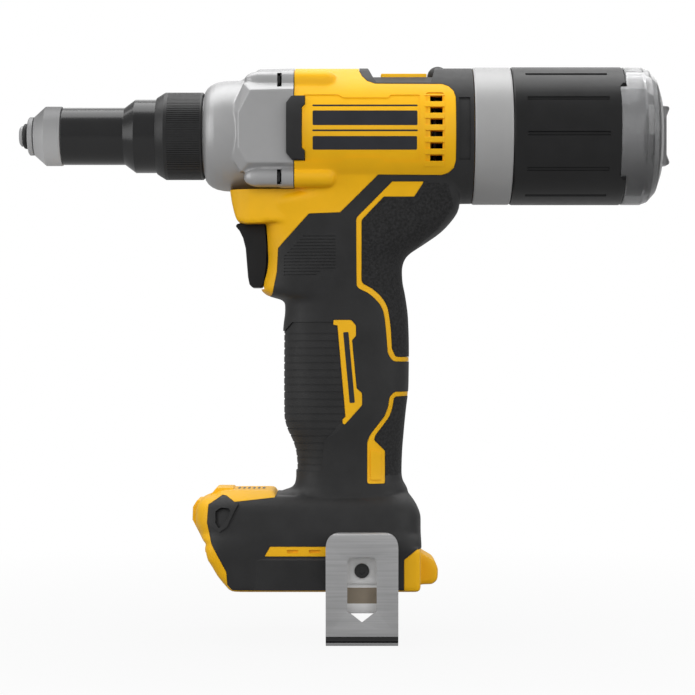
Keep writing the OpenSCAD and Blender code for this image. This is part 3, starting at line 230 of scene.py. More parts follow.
def span(side, inner, outer):
    """Limits across the tool on one side of it, in rising order."""
    return sorted((side * inner, side * outer))


# Mesh changing.

def settle(obj):
    """Turns an object's modifiers into plain mesh."""
    graph = bpy.context.evaluated_depsgraph_get()
    mesh = bpy.data.meshes.new_from_object(obj.evaluated_get(graph))
    old = obj.data
    obj.modifiers.clear()
    obj.data = mesh
    mesh.name = obj.name
    bpy.data.meshes.remove(old)
    return obj


def changed(obj, kind, **values):
    """Applies one modifier to an object."""
    mod = obj.modifiers.new("change", kind)
    for key, value in values.items():
        setattr(mod, key, value)
    return settle(obj)


def drop(*objs):
    for obj in objs:
        mesh = obj.data
        bpy.data.objects.remove(obj)
        bpy.data.meshes.remove(mesh)


def combine(obj, tool, operation, keep):
    """A Boolean on the object. The tool is used up unless it is kept."""
    changed(obj, "BOOLEAN", operation=operation, solver="MANIFOLD", object=tool)
    if not keep:
        drop(tool)
    return obj


def add(obj, tool, keep=False):
    return combine(obj, tool, "UNION", keep)


def cut(obj, tool, keep=False):
    return combine(obj, tool, "DIFFERENCE", keep)


def common(obj, tool, keep=False):
    return combine(obj, tool, "INTERSECT", keep)


def joined(objs):
    """Adds each object to the first one."""
    whole = None
    for obj in objs:
        whole = obj if whole is None else add(whole, obj)
    return whole


def copy_of(obj, name):
    return link(name, obj.data.copy())


def remeshed(obj, voxel, passes):
    """Even small faces, smoothed so that inner and outer corners get fillets."""
    changed(obj, "REMESH", mode="VOXEL", voxel_size=voxel * MM)
    return changed(obj, "SMOOTH", factor=0.5, iterations=passes)


def grown(obj, name, distance):
    """A copy whose surface lies further out by a distance."""
    return changed(copy_of(obj, name), "DISPLACE", direction="NORMAL", mid_level=0, strength=distance * MM)


def bevelled(obj, width, segments=3, angle=35):
    """Rounds the edges that are sharper than an angle in degrees."""
    return changed(
        obj, "BEVEL", width=width * MM, segments=segments, limit_method="ANGLE", angle_limit=radians(angle),
        harden_normals=False
    )


def mirrored(obj, name):
    """A copy on the tool's other side."""
    mesh = obj.data.copy()
    for v in mesh.vertices:
        v.co.y = -v.co.y
    mesh.flip_normals()
    return link(name, mesh)


def softened(obj, angle=38):
    """Smooth shading, apart from edges sharper than an angle in degrees."""
    mesh = obj.data
    mesh.polygons.foreach_set("use_smooth", [True] * len(mesh.polygons))
    mesh.set_sharp_from_angle(angle=radians(angle))
    mesh.update()
    return obj


# Geometry Nodes.

def feed(tree, kind, inputs, out=0, **settings):
    """Adds a node whose inputs are sockets or plain values, and gives one of its outputs."""
    node = tree.nodes.new(kind)
    for key, value in settings.items():
        setattr(node, key, value)
    for title, value in inputs.items():
        if isinstance(value, bpy.types.NodeSocket):
            tree.links.new(value, node.inputs[title])
        else:
            node.inputs[title].default_value = value
    return node.outputs[out]


class Tree:
    """A group that puts copies on points and ends in plain mesh with one material."""

    def __init__(self, name, **inputs):
        self.tree = bpy.data.node_groups.new(name, "GeometryNodeTree")
        face = self.tree.interface
        for title, kind in {"Geometry": "Geometry", **inputs, "Material": "Material"}.items():
            face.new_socket(title, in_out="INPUT", socket_type="NodeSocket" + kind)
        face.new_socket("Geometry", in_out="OUTPUT", socket_type="NodeSocketGeometry")
        self.start = self.tree.nodes.new("NodeGroupInput")

    def given(self, title):
        return self.start.outputs[title]

    def node(self, kind, inputs, out=0, **settings):
        return feed(self.tree, kind, inputs, out, **settings)

    def finish(self, points, shape, turn=(0, 0, 0)):
        copies = self.node("GeometryNodeInstanceOnPoints", {
            "Points": points, "Instance": shape, "Rotation": turn
        })
        mesh = self.node("GeometryNodeRealizeInstances", {0: copies})
        painted = self.node("GeometryNodeSetMaterial", {0: mesh, "Material": self.given("Material")})
        end = self.tree.nodes.new("NodeGroupOutput")
        self.tree.links.new(painted, end.inputs[0])
        return self.tree


def row_tree():
    """A row of equal bars from a start point along a step."""
    t = Tree("row_of_bars", Count="Int", Start="Vector", Step="Vector", Size="Vector")
    line = t.node("GeometryNodeMeshLine", {
        "Count": t.given("Count"), "Start Location": t.given("Start"), "Offset": t.given("Step")
    }, mode="OFFSET")
    return t.finish(line, t.node("GeometryNodeMeshCube", {"Size": t.given("Size")}))


def ring_tree():
    """Copies of the object's own mesh, turned evenly about the pull axis."""
    t = Tree("ring_of_copies", Count="Int", Turn="Float")
    line = t.node("GeometryNodeMeshLine", {"Count": t.given("Count"), "Offset": (0, 0, 0)}, mode="OFFSET")
    index = t.node("GeometryNodeInputIndex", {})
    share = t.node("ShaderNodeMath", {0: index, 1: t.given("Count")}, operation="DIVIDE")
    angle = t.node("ShaderNodeMath", {0: share, 1: 2 * pi, 2: t.given("Turn")}, operation="MULTIPLY_ADD")
    return t.finish(line, t.given("Geometry"), t.node("ShaderNodeCombineXYZ", {0: angle}))


def spots_tree():
    """Copies of another object's mesh on this object's points."""
    t = Tree("copies_on_spots", Shape="Object")
    shape = t.node("GeometryNodeObjectInfo", {"Object": t.given("Shape")}, "Geometry")
    return t.finish(t.given("Geometry"), shape)


ROW = row_tree()
RING = ring_tree()
SPOTS = spots_tree()


def grow_nodes(obj, tree, **values):
    mod = obj.modifiers.new("nodes", "NODES")
    mod.node_group = tree
    for item in tree.interface.items_tree:
        if item.in_out == "INPUT" and item.name in values:
            mod[item.identifier] = values[item.name]
    return settle(obj)


def in_metres(sizes):
    return tuple(size * MM for size in sizes)


def bars(name, count, start, step, size, material):
    """A row of boxes, from the first one's centre, the step and the size in millimetres."""
    return grow_nodes(
        from_points(name, [(0, 0, 0)], []), ROW, Count=count, Start=in_metres(start), Step=in_metres(step),
        Size=in_metres(size), Material=material
    )


def copies_at(name, shape, spots, material):
    """One mesh with a copy of a shape at every spot. The shape itself is used up."""
    out = grow_nodes(from_points(name, spots, []), SPOTS, Shape=shape, Material=material)
    drop(shape)
    return out


# Materials.

class Finish:
    """A node material on Object coordinates with one Principled shader."""

    def __init__(self, name, colour, roughness, metallic=0.0, **sockets):
        self.material = bpy.data.materials.new(name)
        self.material.use_nodes = True
        self.tree = self.material.node_tree
        self.shader = self.tree.nodes["Principled BSDF"]
        self.coords = self.node("ShaderNodeTexCoord", {}, "Object")
        self.colour = colour
        self.normal = None
        self.shader.inputs["Base Color"].default_value = (*colour, 1)
        self.shader.inputs["Roughness"].default_value = roughness
        self.shader.inputs["Metallic"].default_value = metallic
        for title, value in sockets.items():
            self.shader.inputs[title.replace("_", " ")].default_value = value

    def node(self, kind, inputs, out=0):
        return feed(self.tree, kind, inputs, out)

    def drive(self, title, socket):
        self.tree.links.new(socket, self.shader.inputs[title])
        return self

    def noise(self, scale, detail=3.0, stretch=(1, 1, 1)):
        place = self.node("ShaderNodeMapping", {"Vector": self.coords, "Scale": stretch})
        return self.node("ShaderNodeTexNoise", {
            "Vector": place, "Scale": scale, "Detail": detail, "Roughness": 0.55
        }, "Fac")

    def height(self, low, high):
        """How far up a point lies between two levels in millimetres, from 0 to 1."""
        level = self.node("ShaderNodeSeparateXYZ", {0: self.coords}, "Z")
        return self.node("ShaderNodeMapRange", {"Value": level, "From Min": low * MM, "From Max": high * MM})

    def ramp(self, fac, low, high, at):
        colour = self.node("ShaderNodeValToRGB", {"Fac": fac}, "Color")
        for end, place, shade in zip(colour.node.color_ramp.elements, at, (low, high)):
            end.position = place
            end.color = (*shade, 1)
        return self.drive("Base Color", colour)

    def tint(self, fac, spread, at=(0.3, 0.7)):
        low = tuple(max(0, c * (1 - spread)) for c in self.colour)
        high = tuple(min(1, c * (1 + spread)) for c in self.colour)
        return self.ramp(fac, low, high, at)

    def rough(self, fac, low, high):
        level = self.node("ShaderNodeMapRange", {"Value": fac, "To Min": low, "To Max": high})
        return self.drive("Roughness", level)

    def bump(self, fac, depth, strength):
        inputs = {"Height": fac, "Distance": depth * MM, "Strength": strength}
        if self.normal is not None:
            inputs["Normal"] = self.normal
        self.normal = self.node("ShaderNodeBump", inputs)
        return self.drive("Normal", self.normal)

    def grain(self, tint, rough, bump):
        """Even mottling, from (scale, spread), (scale, low, high) and (scale, detail, depth, strength)."""
        if tint:
            self.tint(self.noise(tint[0]), tint[1])
        self.rough(self.noise(rough[0]), rough[1], rough[2])
        self.bump(self.noise(bump[0], bump[1]), bump[2], bump[3])
        return self.material


def stippled_skin_finish():
    f = Finish("charcoal_stippled_skin", (0.013, 0.013, 0.0135), 0.72, Specular_IOR_Level=0.4)
    grains = f.node("ShaderNodeTexVoronoi", {"Vector": f.coords, "Scale": 1250}, "Distance")
    f.tint(f.noise(900, 2), 0.55, (0.35, 0.65))
    f.rough(f.noise(700), 0.6, 0.85)
    f.bump(grains, 0.22, 0.8)
    return f.bump(f.noise(3000, 2), 0.06, 0.5).material


def cast_case_finish():
    f = Finish("silver_die_cast", (0.4, 0.4, 0.403), 0.42, 0.5)
    f.tint(f.noise(45, 4), 0.05)
    f.rough(f.noise(220), 0.36, 0.48)
    return f.bump(f.noise(1700, 4), 0.05, 0.45).material


def bright_steel_finish():
    """Turned steel with a painted reflection: light below and dark above, like the studio that it mirrors."""
    f = Finish("turned_bright_steel", (0.35, 0.35, 0.353), 0.55, 0.5)
    rings = f.noise(900, 2, (6, 0.15, 0.15))
    # Painted reflection: the base colour is light at the bottom and dark at the top.
    f.ramp(f.height(-14, 14), (0.7, 0.7, 0.705), (0.12, 0.12, 0.122), (0.05, 0.95))
    f.rough(rings, 0.48, 0.62)
    return f.bump(rings, 0.02, 0.25).material


def black_steel_finish():
    f = Finish("black_oxide_steel", (0.009, 0.009, 0.0095), 0.26, 0.1, Specular_IOR_Level=0.6)
    rings = f.noise(160, 2, (6, 0.15, 0.15))
    f.tint(f.noise(70), 0.15)
    f.rough(rings, 0.2, 0.22)
    return f.bump(rings, 0.01, 0.02).material


def smoke_finish():
    """Clear smoky plastic, with painted shade that darkens its lower half."""
    f = Finish("smoky_clear_plastic", (0.4, 0.402, 0.405), 0.18, Transmission_Weight=0.88, IOR=1.46)
    # Painted shade: the tint is darker towards the bottom.
    f.ramp(f.height(-32, 32), (0.15, 0.151, 0.154), (0.43, 0.432, 0.436), (0.1, 0.52))
    f.rough(f.noise(180), 0.05, 0.12)
    return f.bump(f.noise(160, 2), 0.02, 0.2).material


def brushed_finish(name, colour, roughness, metallic, marks, spread, low, high):
    """Metal with one set of brush marks, given as noise scale, detail and stretch."""
    f = Finish(name, colour, roughness, metallic)
    brush = f.noise(*marks)
    f.tint(brush, spread)
    f.rough(brush, low, high)
    return f.bump(brush, 0.02, 0.25).material


def copper_finish():
    f = Finish("wound_copper_wire", (0.62, 0.27, 0.1), 0.35, 0.9)
    turns = f.node("ShaderNodeTexWave", {"Vector": f.coords, "Scale": 420, "Distortion": 3.0}, "Fac")
    f.tint(turns, 0.35, (0.2, 0.8))
    f.rough(f.noise(300), 0.28, 0.45)
    return f.bump(turns, 0.3, 0.8).material


def board_finish():
    f = Finish("green_circuit_board", (0.02, 0.13, 0.05), 0.35)
    tracks = f.node("ShaderNodeTexBrick", {
        "Vector": f.coords, "Scale": 160, "Color1": (0.02, 0.13, 0.05, 1), "Color2": (0.018, 0.11, 0.045, 1),
        "Mortar": (0.05, 0.24, 0.09, 1)
    }, "Color")
    f.drive("Base Color", tracks)
    f.rough(f.noise(300), 0.28, 0.42)
    return f.bump(tracks.node.outputs["Fac"], 0.05, 0.4).material


yellow = Finish("yellow_moulded_shell", (0.92, 0.485, 0.004), 0.45, Specular_IOR_Level=0.3).grain(
    (60, 0.04), (240, 0.4, 0.52), (2600, 2, 0.03, 0.35)
)
soft = Finish("charcoal_soft_skin", (0.0155, 0.0155, 0.016), 0.55, Specular_IOR_Level=0.4).grain(
    (90, 0.18), (300, 0.46, 0.62), (2200, 3, 0.05, 0.4)
)
stippled = stippled_skin_finish()
ribbed = Finish("charcoal_ribbed_skin", (0.016, 0.016, 0.0165), 0.55, Specular_IOR_Level=0.4).grain(
    (120, 0.15), (400, 0.48, 0.64), (2600, 2, 0.03, 0.4)
)
cast = cast_case_finish()
bright = bright_steel_finish()
black_steel = black_steel_finish()
knurled = Finish("black_oxide_knurl", (0.011, 0.011, 0.0115), 0.4, 0.1, Specular_IOR_Level=0.55).grain(
    (200, 0.25), (500, 0.36, 0.5), (2000, 2, 0.02, 0.3)
)
silver_ring = Finish("silver_grey_ring", (0.38, 0.38, 0.38), 0.46, 0.3).grain(
    (50, 0.03), (260, 0.42, 0.54), (2400, 2, 0.02, 0.3)
)
black_plastic = Finish("black_moulded_plastic", (0.009, 0.009, 0.0094), 0.36, Specular_IOR_Level=0.32).grain(
    (100, 0.15), (260, 0.32, 0.44), (2600, 2, 0.025, 0.35)
)
smoke = smoke_finish()
smoke_plug = Finish(
    "smoky_plug_plastic", (0.24, 0.24, 0.243), 0.22, Transmission_Weight=0.55, IOR=1.46
).grain((60, 0.08), (200, 0.16, 0.28), (200, 2, 0.02, 0.2))
clear = Finish("clear_lens_plastic", (0.9, 0.92, 0.93), 0.08, Transmission_Weight=0.85, IOR=1.49).grain(
    None, (300, 0.05, 0.12), (400, 2, 0.02, 0.2)
)
hook_steel = brushed_finish(
    "brushed_hook_steel", (0.44, 0.44, 0.445), 0.46, 0.7, (500, 3, (0.06, 1, 2.2)), 0.1, 0.4, 0.54
)
# Painted light: a lighter, less metallic copy of the hook steel for the back leg, which lies in the front
# plate's shade.
back_leg_painted_light = Finish("satin_back_plate", (0.72, 0.72, 0.72), 0.5, 0.2).grain(
    (120, 0.06), (300, 0.44, 0.56), (1200, 2, 0.02, 0.25)
)
# Painted shade and reflection: a dark tan copy of the hook steel for the jog below the screw plate. It stands
# in for the shade there and for the yellow that the jog mirrors.
jog_painted_shade_and_reflection = Finish("warm_bent_plate", (0.23, 0.19, 0.14), 0.5, 0.2).grain(
    (150, 0.08), (300, 0.44, 0.58), (1200, 2, 0.02, 0.25)
)
steel = brushed_finish(
    "machined_steel", (0.5, 0.5, 0.51), 0.35, 1.0, (600, 3, (4, 0.4, 0.4)), 0.08, 0.28, 0.45
)
copper = copper_finish()
magnet = Finish("nickel_plated_magnet", (0.3, 0.3, 0.31), 0.3, 1.0).grain(
    (90, 0.06), (300, 0.24, 0.36), (800, 2, 0.02, 0.2)
)
brass = Finish("bright_brass", (0.66, 0.47, 0.17), 0.3, 1.0).grain(
    (200, 0.07), (400, 0.22, 0.38), (900, 2, 0.02, 0.2)
)
board = board_finish()
label = Finish("black_printed_bar", (0.012, 0.013, 0.018), 0.38).grain(
    (120, 0.15), (300, 0.32, 0.44), (2400, 2, 0.01, 0.2)
)


def dress(obj, body, slot, nodes, *materials):
    """Makes an object a piece of the part: its materials, body and the nodes that it replaces. The slot
    argument is not used.
    """
    obj.data.materials.clear()
    for material in materials:
        obj.data.materials.append(material)
    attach(obj, body)
    if nodes:
        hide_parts(*nodes)
    return obj


def inside(outline, x, z):
    """Whether a point lies in a closed outline."""
    hit = False
    for (x0, z0), (x1, z1) in zip(outline, outline[1:] + outline[:1]):
        if (z0 > z) != (z1 > z) and x < (x1 - x0) * (z - z0) / (z1 - z0) + x0:
            hit = not hit
    return hit


def paint_area(obj, material, outline, test=None):
    """Gives one of an object's materials to its faces within an outline, or to those that pass a test too."""
    slot = obj.data.materials.find(material.name)
    for poly in obj.data.polygons:
        c = poly.center
        if inside(outline, c.x / MM, c.z / MM) and (test is None or test(poly)):
            poly.material_index = slot


# Camera, light and floor. Places are in metres here.

CAMERA_PLACE = (0.1539, -1.0, -0.0992)
SENSOR_WIDTH = 36.0
VIEW_WIDTH_AT_A_METRE = 0.32665
TOOL_CENTRE = (0.15, 0, -0.09)
FLOOR_LEVEL = -0.2338
FLOOR_REACH = 6.0


def set_camera():
    cam = bpy.data.cameras.new("camera")
    cam.sensor_fit = "HORIZONTAL"
    cam.sensor_width = SENSOR_WIDTH
    cam.lens = SENSOR_WIDTH / VIEW_WIDTH_AT_A_METRE
    eye = link("camera", cam)
    eye.location = CAMERA_PLACE
    eye.rotation_euler = (radians(90), 0, 0)
    scene.camera = eye


def add_lamp(name, place, size, watts, seen_in_gloss=True):
    light = bpy.data.lights.new(name, "AREA")
    light.shape = "RECTANGLE"
    light.size, light.size_y = size
    light.energy = watts
    obj = link(name, light)
    obj.visible_glossy = seen_in_gloss
    obj.location = place
    obj.rotation_euler = (Vector(TOOL_CENTRE) - Vector(place)).to_track_quat("-Z", "Y").to_euler()


def ray_kinds(tree):
    """Rays that the camera sees directly or through clear plastic, and mirrored ones."""
    path = tree.nodes.new("ShaderNodeLightPath").outputs
    direct = {0: path["Is Camera Ray"], 1: path["Is Transmission Ray"]}
    return feed(tree, "ShaderNodeMath", direct, operation="MAXIMUM"), path["Is Glossy Ray"]


def set_backdrop():
    """A backdrop that the camera sees as white, but that lights the tool only a little."""
    scene.world = bpy.data.worlds.new("studio")
    scene.world.use_nodes = True
    tree = scene.world.node_tree
    back = tree.nodes["Background"]
    back.inputs["Color"].default_value = (1, 1, 1, 1)
    seen, mirrored_ray = ray_kinds(tree)
    dim = feed(tree, "ShaderNodeMath", {0: mirrored_ray, 1: 0.12, 2: 0.3}, operation="MULTIPLY_ADD")
    strength = feed(tree, "ShaderNodeMath", {0: seen, 1: dim}, operation="MAXIMUM")
    tree.links.new(strength, back.inputs["Strength"])


def paper_finish():
    """White paper with a faint grey under the tool."""
    paper = bpy.data.materials.new("white_paper_floor")
    paper.use_nodes = True
    tree = paper.node_tree
    matte = tree.nodes["Principled BSDF"]
    matte.inputs["Base Color"].default_value = (0.2, 0.2, 0.2, 1)
    matte.inputs["Roughness"].default_value = 0.9
    matte.inputs["Specular IOR Level"].default_value = 0.1
    spot = feed(tree, "ShaderNodeTexCoord", {}, "Object")
    under_tool = (TOOL_CENTRE[0], 0, FLOOR_LEVEL)
    reach = feed(tree, "ShaderNodeVectorMath", {0: spot, 1: under_tool}, "Value", operation="DISTANCE")
    fade = feed(tree, "ShaderNodeMapRange", {
        "Value": reach, "From Min": 0.05, "From Max": 0.45, "To Min": 0.93, "To Max": 1.0
    })
    seen, mirrored_ray = ray_kinds(tree)
    share = feed(tree, "ShaderNodeMath", {0: seen, 1: fade}, operation="MULTIPLY")
    white = feed(tree, "ShaderNodeMath", {0: mirrored_ray, 1: 0.4, 2: share}, operation="MULTIPLY_ADD")
    glow = feed(tree, "ShaderNodeEmission", {})
    mix = feed(tree, "ShaderNodeMixShader", {0: white, 1: matte.outputs[0], 2: glow})
    tree.links.new(mix, tree.nodes["Material Output"].inputs["Surface"])
    return paper


def set_floor():
    edge, level = FLOOR_REACH / MM, FLOOR_LEVEL / MM
    corners = [(x * edge, y * edge, level) for x, y in ((-1, -1), (1, -1), (1, 1), (-1, 1))]
    floor = from_points("floor", corners, [(0, 1, 2, 3)])
    floor.data.materials.append(paper_finish())


set_camera()
add_lamp("top_lamp", (0.13, 0.24, 1.1), (2.2, 1.0), 20)
add_lamp("front_lamp", (0.1, -1.5, 0.45), (2.0, 1.1), 12, False)
add_lamp("left_lamp", (-1.0, -0.55, 0.25), (0.6, 0.9), 4)
add_lamp("right_lamp", (1.1, -0.6, 0.35), (0.6, 0.8), 3)
add_lamp("rear_lamp", (0.3, 1.1, 0.6), (1.2, 0.8), 3)
set_backdrop()
set_floor()
scene.view_settings.view_transform = "Standard"


# Nose.

def make_nose():
    tip = lathe("nosepiece_turned", rounded([
        (0, 2.1), (0, 3.7), (0.9, 4.8), (1.8, 4.8), (1.8, 3.7), (4.3, 3.7), (4.3, 8.2), (4.9, 9), (6.8, 9),
        (6.8, 6), (23.4, 6), (23.4, 4.8), (26.6, 4.8), (26.6, 2.1)
    ], 0.3, 3), 128)
    dress(softened(tip), "nose", "steel", ["nosepiece"], bright)
    seal = lathe("nose_rubber_ring", [
        (3.05 + 1.15 * cos(2 * pi * i / 20), 4.85 + 1.1 * sin(2 * pi * i / 20)) for i in range(20)
    ], 96)
    dress(softened(seal), "nose", "black_rubber", ["nose_o_ring"], soft)
    cap = lathe("nose_cap_turned", rounded([
        (7.2, 6.1), (7.2, 9.2), (12.5, 13.9), (20.15, 13.9), (20.15, 12.6), (27.8, 12.6), (27.8, 11.15),
        (23.3, 11.15), (23.3, 6.1)
    ], 0.45, 4), 160)
    dress(softened(cap), "nose", "steel", ["nose_cap"], bright)
    sleeve = lathe("nose_sleeve_turned", rounded([
        (20.5, 12.7), (20.5, 13.4), (49.5, 13.4), (54.6, 17.2), (68.6, 17.2), (68.6, 18.6), (71.3, 18.6),
        (71.3, 14.1), (58.5, 14.1), (58.5, 11.15), (28.3, 11.15), (28.3, 12.7)
    ], 0.5, 4), 192)
    dress(softened(sleeve, 24), "nose", "black_steel", ["nose_sleeve"], black_steel)
    collar = lathe("nose_collar_turned", rounded([
        (64.6, 17.3), (64.6, 17.9), (68.7, 20.45), (86.2, 20.45), (86.8, 19.9), (86.8, 18.8), (68.5, 18.8),
        (68.5, 17.3)
    ], 0.4, 3), 240)
    tooth = prism("knurl_groove", [(70.2, 20.15), (85.6, 20.15), (85.6, 21.5), (70.2, 21.5)], -0.16, 0.16)
    cut(collar, grow_nodes(tooth, RING, Count=120, Turn=0.0, Material=knurled))
    dress(softened(collar, 24), "collar", "black_steel", ["nose_collar"], knurled)


# Gear case.

SLOT_REACH = 12
CASE_SPOTS = [(18.6, 23.7), (-18.6, 23.7), (22.6, -21.0), (-22.6, -21.0)]
CHEEK_EDGE = [(100.3, 9.2), (106.2, 22.6), (131, 22.6), (131, -18.4), (104.6, -18.4), (100.5, -12.0)]
CHEEK_FACE = [(103.9, 8.0), (109.4, 18.6), (131, 19.0), (131, -14.6), (108.2, -14.6), (103.9, -7.2)]
CASE_ROOF = [(100, 9, 22.8), (103.4, 10.5, 25.7), (112.8, 16, 30.5), (131, 16.2, 30.9)]
CASE_BOSS = [
    (106.4, 0), (106.4, 1.2), (107.4, 2.6), (109.4, 3.8), (112, 4.5), (123.2, 4.6), (123.4, 5.0), (131, 5.0),
    (131, 0)
]


def roof_ring(x, half, top):
    side = [(half, 12), (half, top - 6.5), (half - 3, top - 2.2), (half - 8, top)]
    return [(x, y, z) for y, z in side] + [(x, -y, z) for y, z in reversed(side)]


def make_gear_case():
    dome = lathe("gear_case_cast", [
        (87.3, 0), (87.3, 20.6), (88.6, 22.6), (90.4, 24.0), (92.6, 25.0), (96, 25.7), (101, 26.0),
        (108, 26.0), (129.2, 26.0), (129.2, 0)
    ], 160)
    add(dome, loft("case_cheeks", [
        at_depth(CHEEK_FACE, -27.6), at_depth(CHEEK_EDGE, -22.8), at_depth(CHEEK_EDGE, 22.8),
        at_depth(CHEEK_FACE, 27.6)
    ]))
    add(dome, loft("case_roof", [roof_ring(*row) for row in CASE_ROOF]))
    for spot in CASE_SPOTS:
        add(dome, lathe("case_boss", CASE_BOSS, 48, spot))
    remeshed(dome, voxel=0.5, passes=5)
    cut(dome, block("case_front_trim", (60, -60, -60), (87.35, 60, 60)))
    cut(dome, block("case_rear_trim", (129.15, -60, -60), (180, 60, 60)))
    add(dome, lathe("case_neck", [
        (56.7, 0), (56.7, 13.6), (72.0, 13.6), (72.0, 18.5), (88.0, 18.5), (88.0, 0)
    ], 128))
    cut(dome, lathe("case_bore", [
        (55, 0), (55, 11.2), (93.1, 11.2), (93.1, 23.1), (135, 23.1), (135, 0)
    ], 128))
    cut(dome, block("key_way", (60.4, -2.4, -16), (94, 2.4, 16)))
    for y, z in CASE_SPOTS:
        cut(dome, rod("screw_bore", 2.3, 110, 140, y, z, 32))
        cut(dome, rod("head_bore", 3.9, 119.8, 123.0, y, z, 40))
        low, high = sorted((y, y + (SLOT_REACH if y > 0 else -SLOT_REACH)))
        cut(dome, block("head_slot", (121.6, low, z - 3.4), (123.7, high, z + 3.4)))
    dress(softened(dome, 30), "housing", "cast_aluminium", ["gear_case"], cast)

    head = lathe("case_screw_shape", rounded([
        (120.3, 0), (120.3, 3.5), (123.0, 3.5), (123.0, 2.0), (138.3, 2.0), (138.3, 0)
    ], 0.25, 2), 36)
    cut(head, rod("hex_socket", 1.7, 118, 121.9, 0, 0, 6))
    screws = copies_at("gear_case_screws_set", head, [(0, y, z) for y, z in CASE_SPOTS], black_steel)
    dress(softened(screws), "housing", "black_steel", ["gear_case_screws"], black_steel)


# Housing: two yellow halves under a soft skin.

# Rows of level and place, half width or squareness, down the grip and then down the foot.
FRONT = [
    (-14, 129.8), (-28, 129.6), (-30.5, 118), (-33, 115.8), (-42, 115.5), (-50, 115.7), (-58, 115.7),
    (-64, 114.9), (-69, 113.4), (-72, 113.0), (-73.6, 114.4), (-74.8, 118.8), (-76, 122.6), (-78, 124.5),
    (-82, 124.6), (-88, 123.9), (-92, 123.6), (-115, 123.5), (-131, 123.6), (-137, 125), (-142.6, 127.6),
    (-148, 129.2), (-155, 129.8), (-160, 129.8), (-164, 128.9), (-166, 127.0), (-168, 121)
]
BACK = [
    (-14, 206.4), (-28, 206.4), (-33, 206.1), (-36, 205.3), (-38.5, 203.6), (-44, 198.6), (-50, 190.2),
    (-55, 182.9), (-58, 180.6), (-63, 179.5), (-68, 179.7), (-75, 181), (-86, 182.4), (-100, 182.8),
    (-117, 182.6), (-128, 181.4), (-137, 180.5), (-150, 179.5), (-158, 179.3), (-162, 180), (-166, 182.2)
]
HALF = [
    (-14, 26.6), (-20, 24.6), (-26, 22.8), (-32, 21.7), (-38, 21.1), (-48, 20.6), (-60, 20.2), (-75, 19.9),
    (-90, 20.2), (-115, 20.3), (-132, 20.0), (-141, 19.5), (-150, 19.2), (-158, 19.4), (-164, 20.6),
    (-168, 22.5)
]
POWER = [
    (-14, 8), (-28, 7), (-36, 5), (-42, 4), (-48, 3.4), (-60, 2.8), (-80, 2.6), (-110, 2.5), (-150, 2.5),
    (-168, 3)
]
FOOT_FRONT = [
    (-163.6, 94.4), (-165.4, 92.2), (-167.4, 89.8), (-168.8, 86.4), (-170.4, 84.2), (-173, 83.2),
    (-177, 83.0), (-181, 83.7), (-184, 85.2), (-186.6, 86.9), (-188.4, 88.9), (-189.8, 88.2),
    (-195.2, 89.3), (-196.8, 90.5), (-202.4, 93.9), (-206.9, 97.7), (-210.9, 101)
]
FOOT_BACK = [
    (-163.6, 180.5), (-166, 182.0), (-168, 183.4), (-171, 185.6), (-174, 187.2), (-177, 188), (-190.5, 188),
    (-193, 187), (-210.9, 186.9)
]
FOOT_HALF = [
    (-165, 15.5), (-166, 18.6), (-167.2, 21.6), (-169, 24.6), (-171.4, 27.2), (-175, 29.2), (-180, 30.7),
    (-186, 31.6), (-194, 32.1), (-210.9, 32.1)
]
FOOT_POWER = [(-166, 5), (-184, 5), (-192, 14), (-210, 16)]

# Outlines of (x, z) points, seen from the side.
NOSE_GUARD = [
    (92.9, -164.4), (90.1, -167.9), (86.8, -169.9), (84.0, -170.1), (82.0, -173.3), (81.8, -179.2),
    (84.1, -183.6), (86.3, -187.9), (88.4, -191.0), (104, -191.0), (104, -166.2), (101.4, -165.9),
    (100.5, -164.4)
]
SKIN_AREA = [
    (160.2, 45), (159.4, 29.4), (160.6, 26.3), (163.0, 23.6), (166.6, 22.2), (197.4, 22.0), (200.4, 20.8),
    (202.6, 18.4), (203.5, 15.2), (203.5, -13.8), (202.6, -17.0), (200.3, -19.2), (197.1, -20.2),
    (168.0, -20.0), (150.5, -37.1), (136.2, -37.6), (121.9, -53.2), (121.3, -64.0), (119.4, -73.4),
    (118.6, -75.2), (105, -77), (105, -159), (117, -161.2), (121.8, -163.0), (122.0, -165.4),
    (120.5, -168.2), (102.1, -170.1), (98.1, -167.6), (96.3, -167.3), (90.1, -171.4), (89.7, -179.6),
    (91.9, -188.7), (98.8, -201.4), (99.3, -207.4), (101.5, -209.7), (179.6, -209.7), (179.6, -195.8),
    (185.5, -191.1), (200, -190.5), (200, -60), (211.8, -55), (211.8, 45)
]
UPPER_STRIPE = rounded([
    (174.4, -22.9), (189.2, -22.9), (184.6, -29.9), (170.6, -29.9), (160.5, -40.5), (160.4, -69.4),
    (164.9, -71.7), (168.4, -74.5), (170.7, -77.3), (172.4, -80.2), (173.2, -84.5), (174.1, -91.1),
    (174.5, -99.6), (176.2, -103.5), (195, -103.5), (195, -105.8), (174.6, -105.8), (172.4, -101.6),
    (171.6, -91.1), (171.0, -85.6), (170.2, -82.0), (169.0, -79.6), (167.0, -77.2), (163.9, -74.4),
    (158.0, -71.5), (157.8, -39.5)
], [
    0.5, 0.5, 0.5, 1, 2, 3, 12, 12, 12, 10, 20, 30, 4, 2, 0.5, 0.5, 4, 4, 30, 20, 10, 12, 12, 12, 3, 3
], 5)
LOWER_STRIPE = rounded([
    (195, -119.6), (175.8, -119.6), (173.3, -121.9), (172.6, -126.6), (171.0, -131.0), (167.4, -135.4),
    (164.2, -139.6), (162.9, -143.0), (162.9, -162.1), (171.3, -162.1), (171.3, -147.0), (166.2, -141.8),
    (166.9, -139.6), (170.2, -135.4), (173.4, -131.2), (174.8, -127.0), (175.5, -122.6), (176.6, -121.9),
    (195, -121.9)
], [0.5, 3, 3, 12, 12, 12, 8, 6, 1.4, 1, 0.6, 1, 3, 12, 12, 12, 1, 1, 0.5], 5)
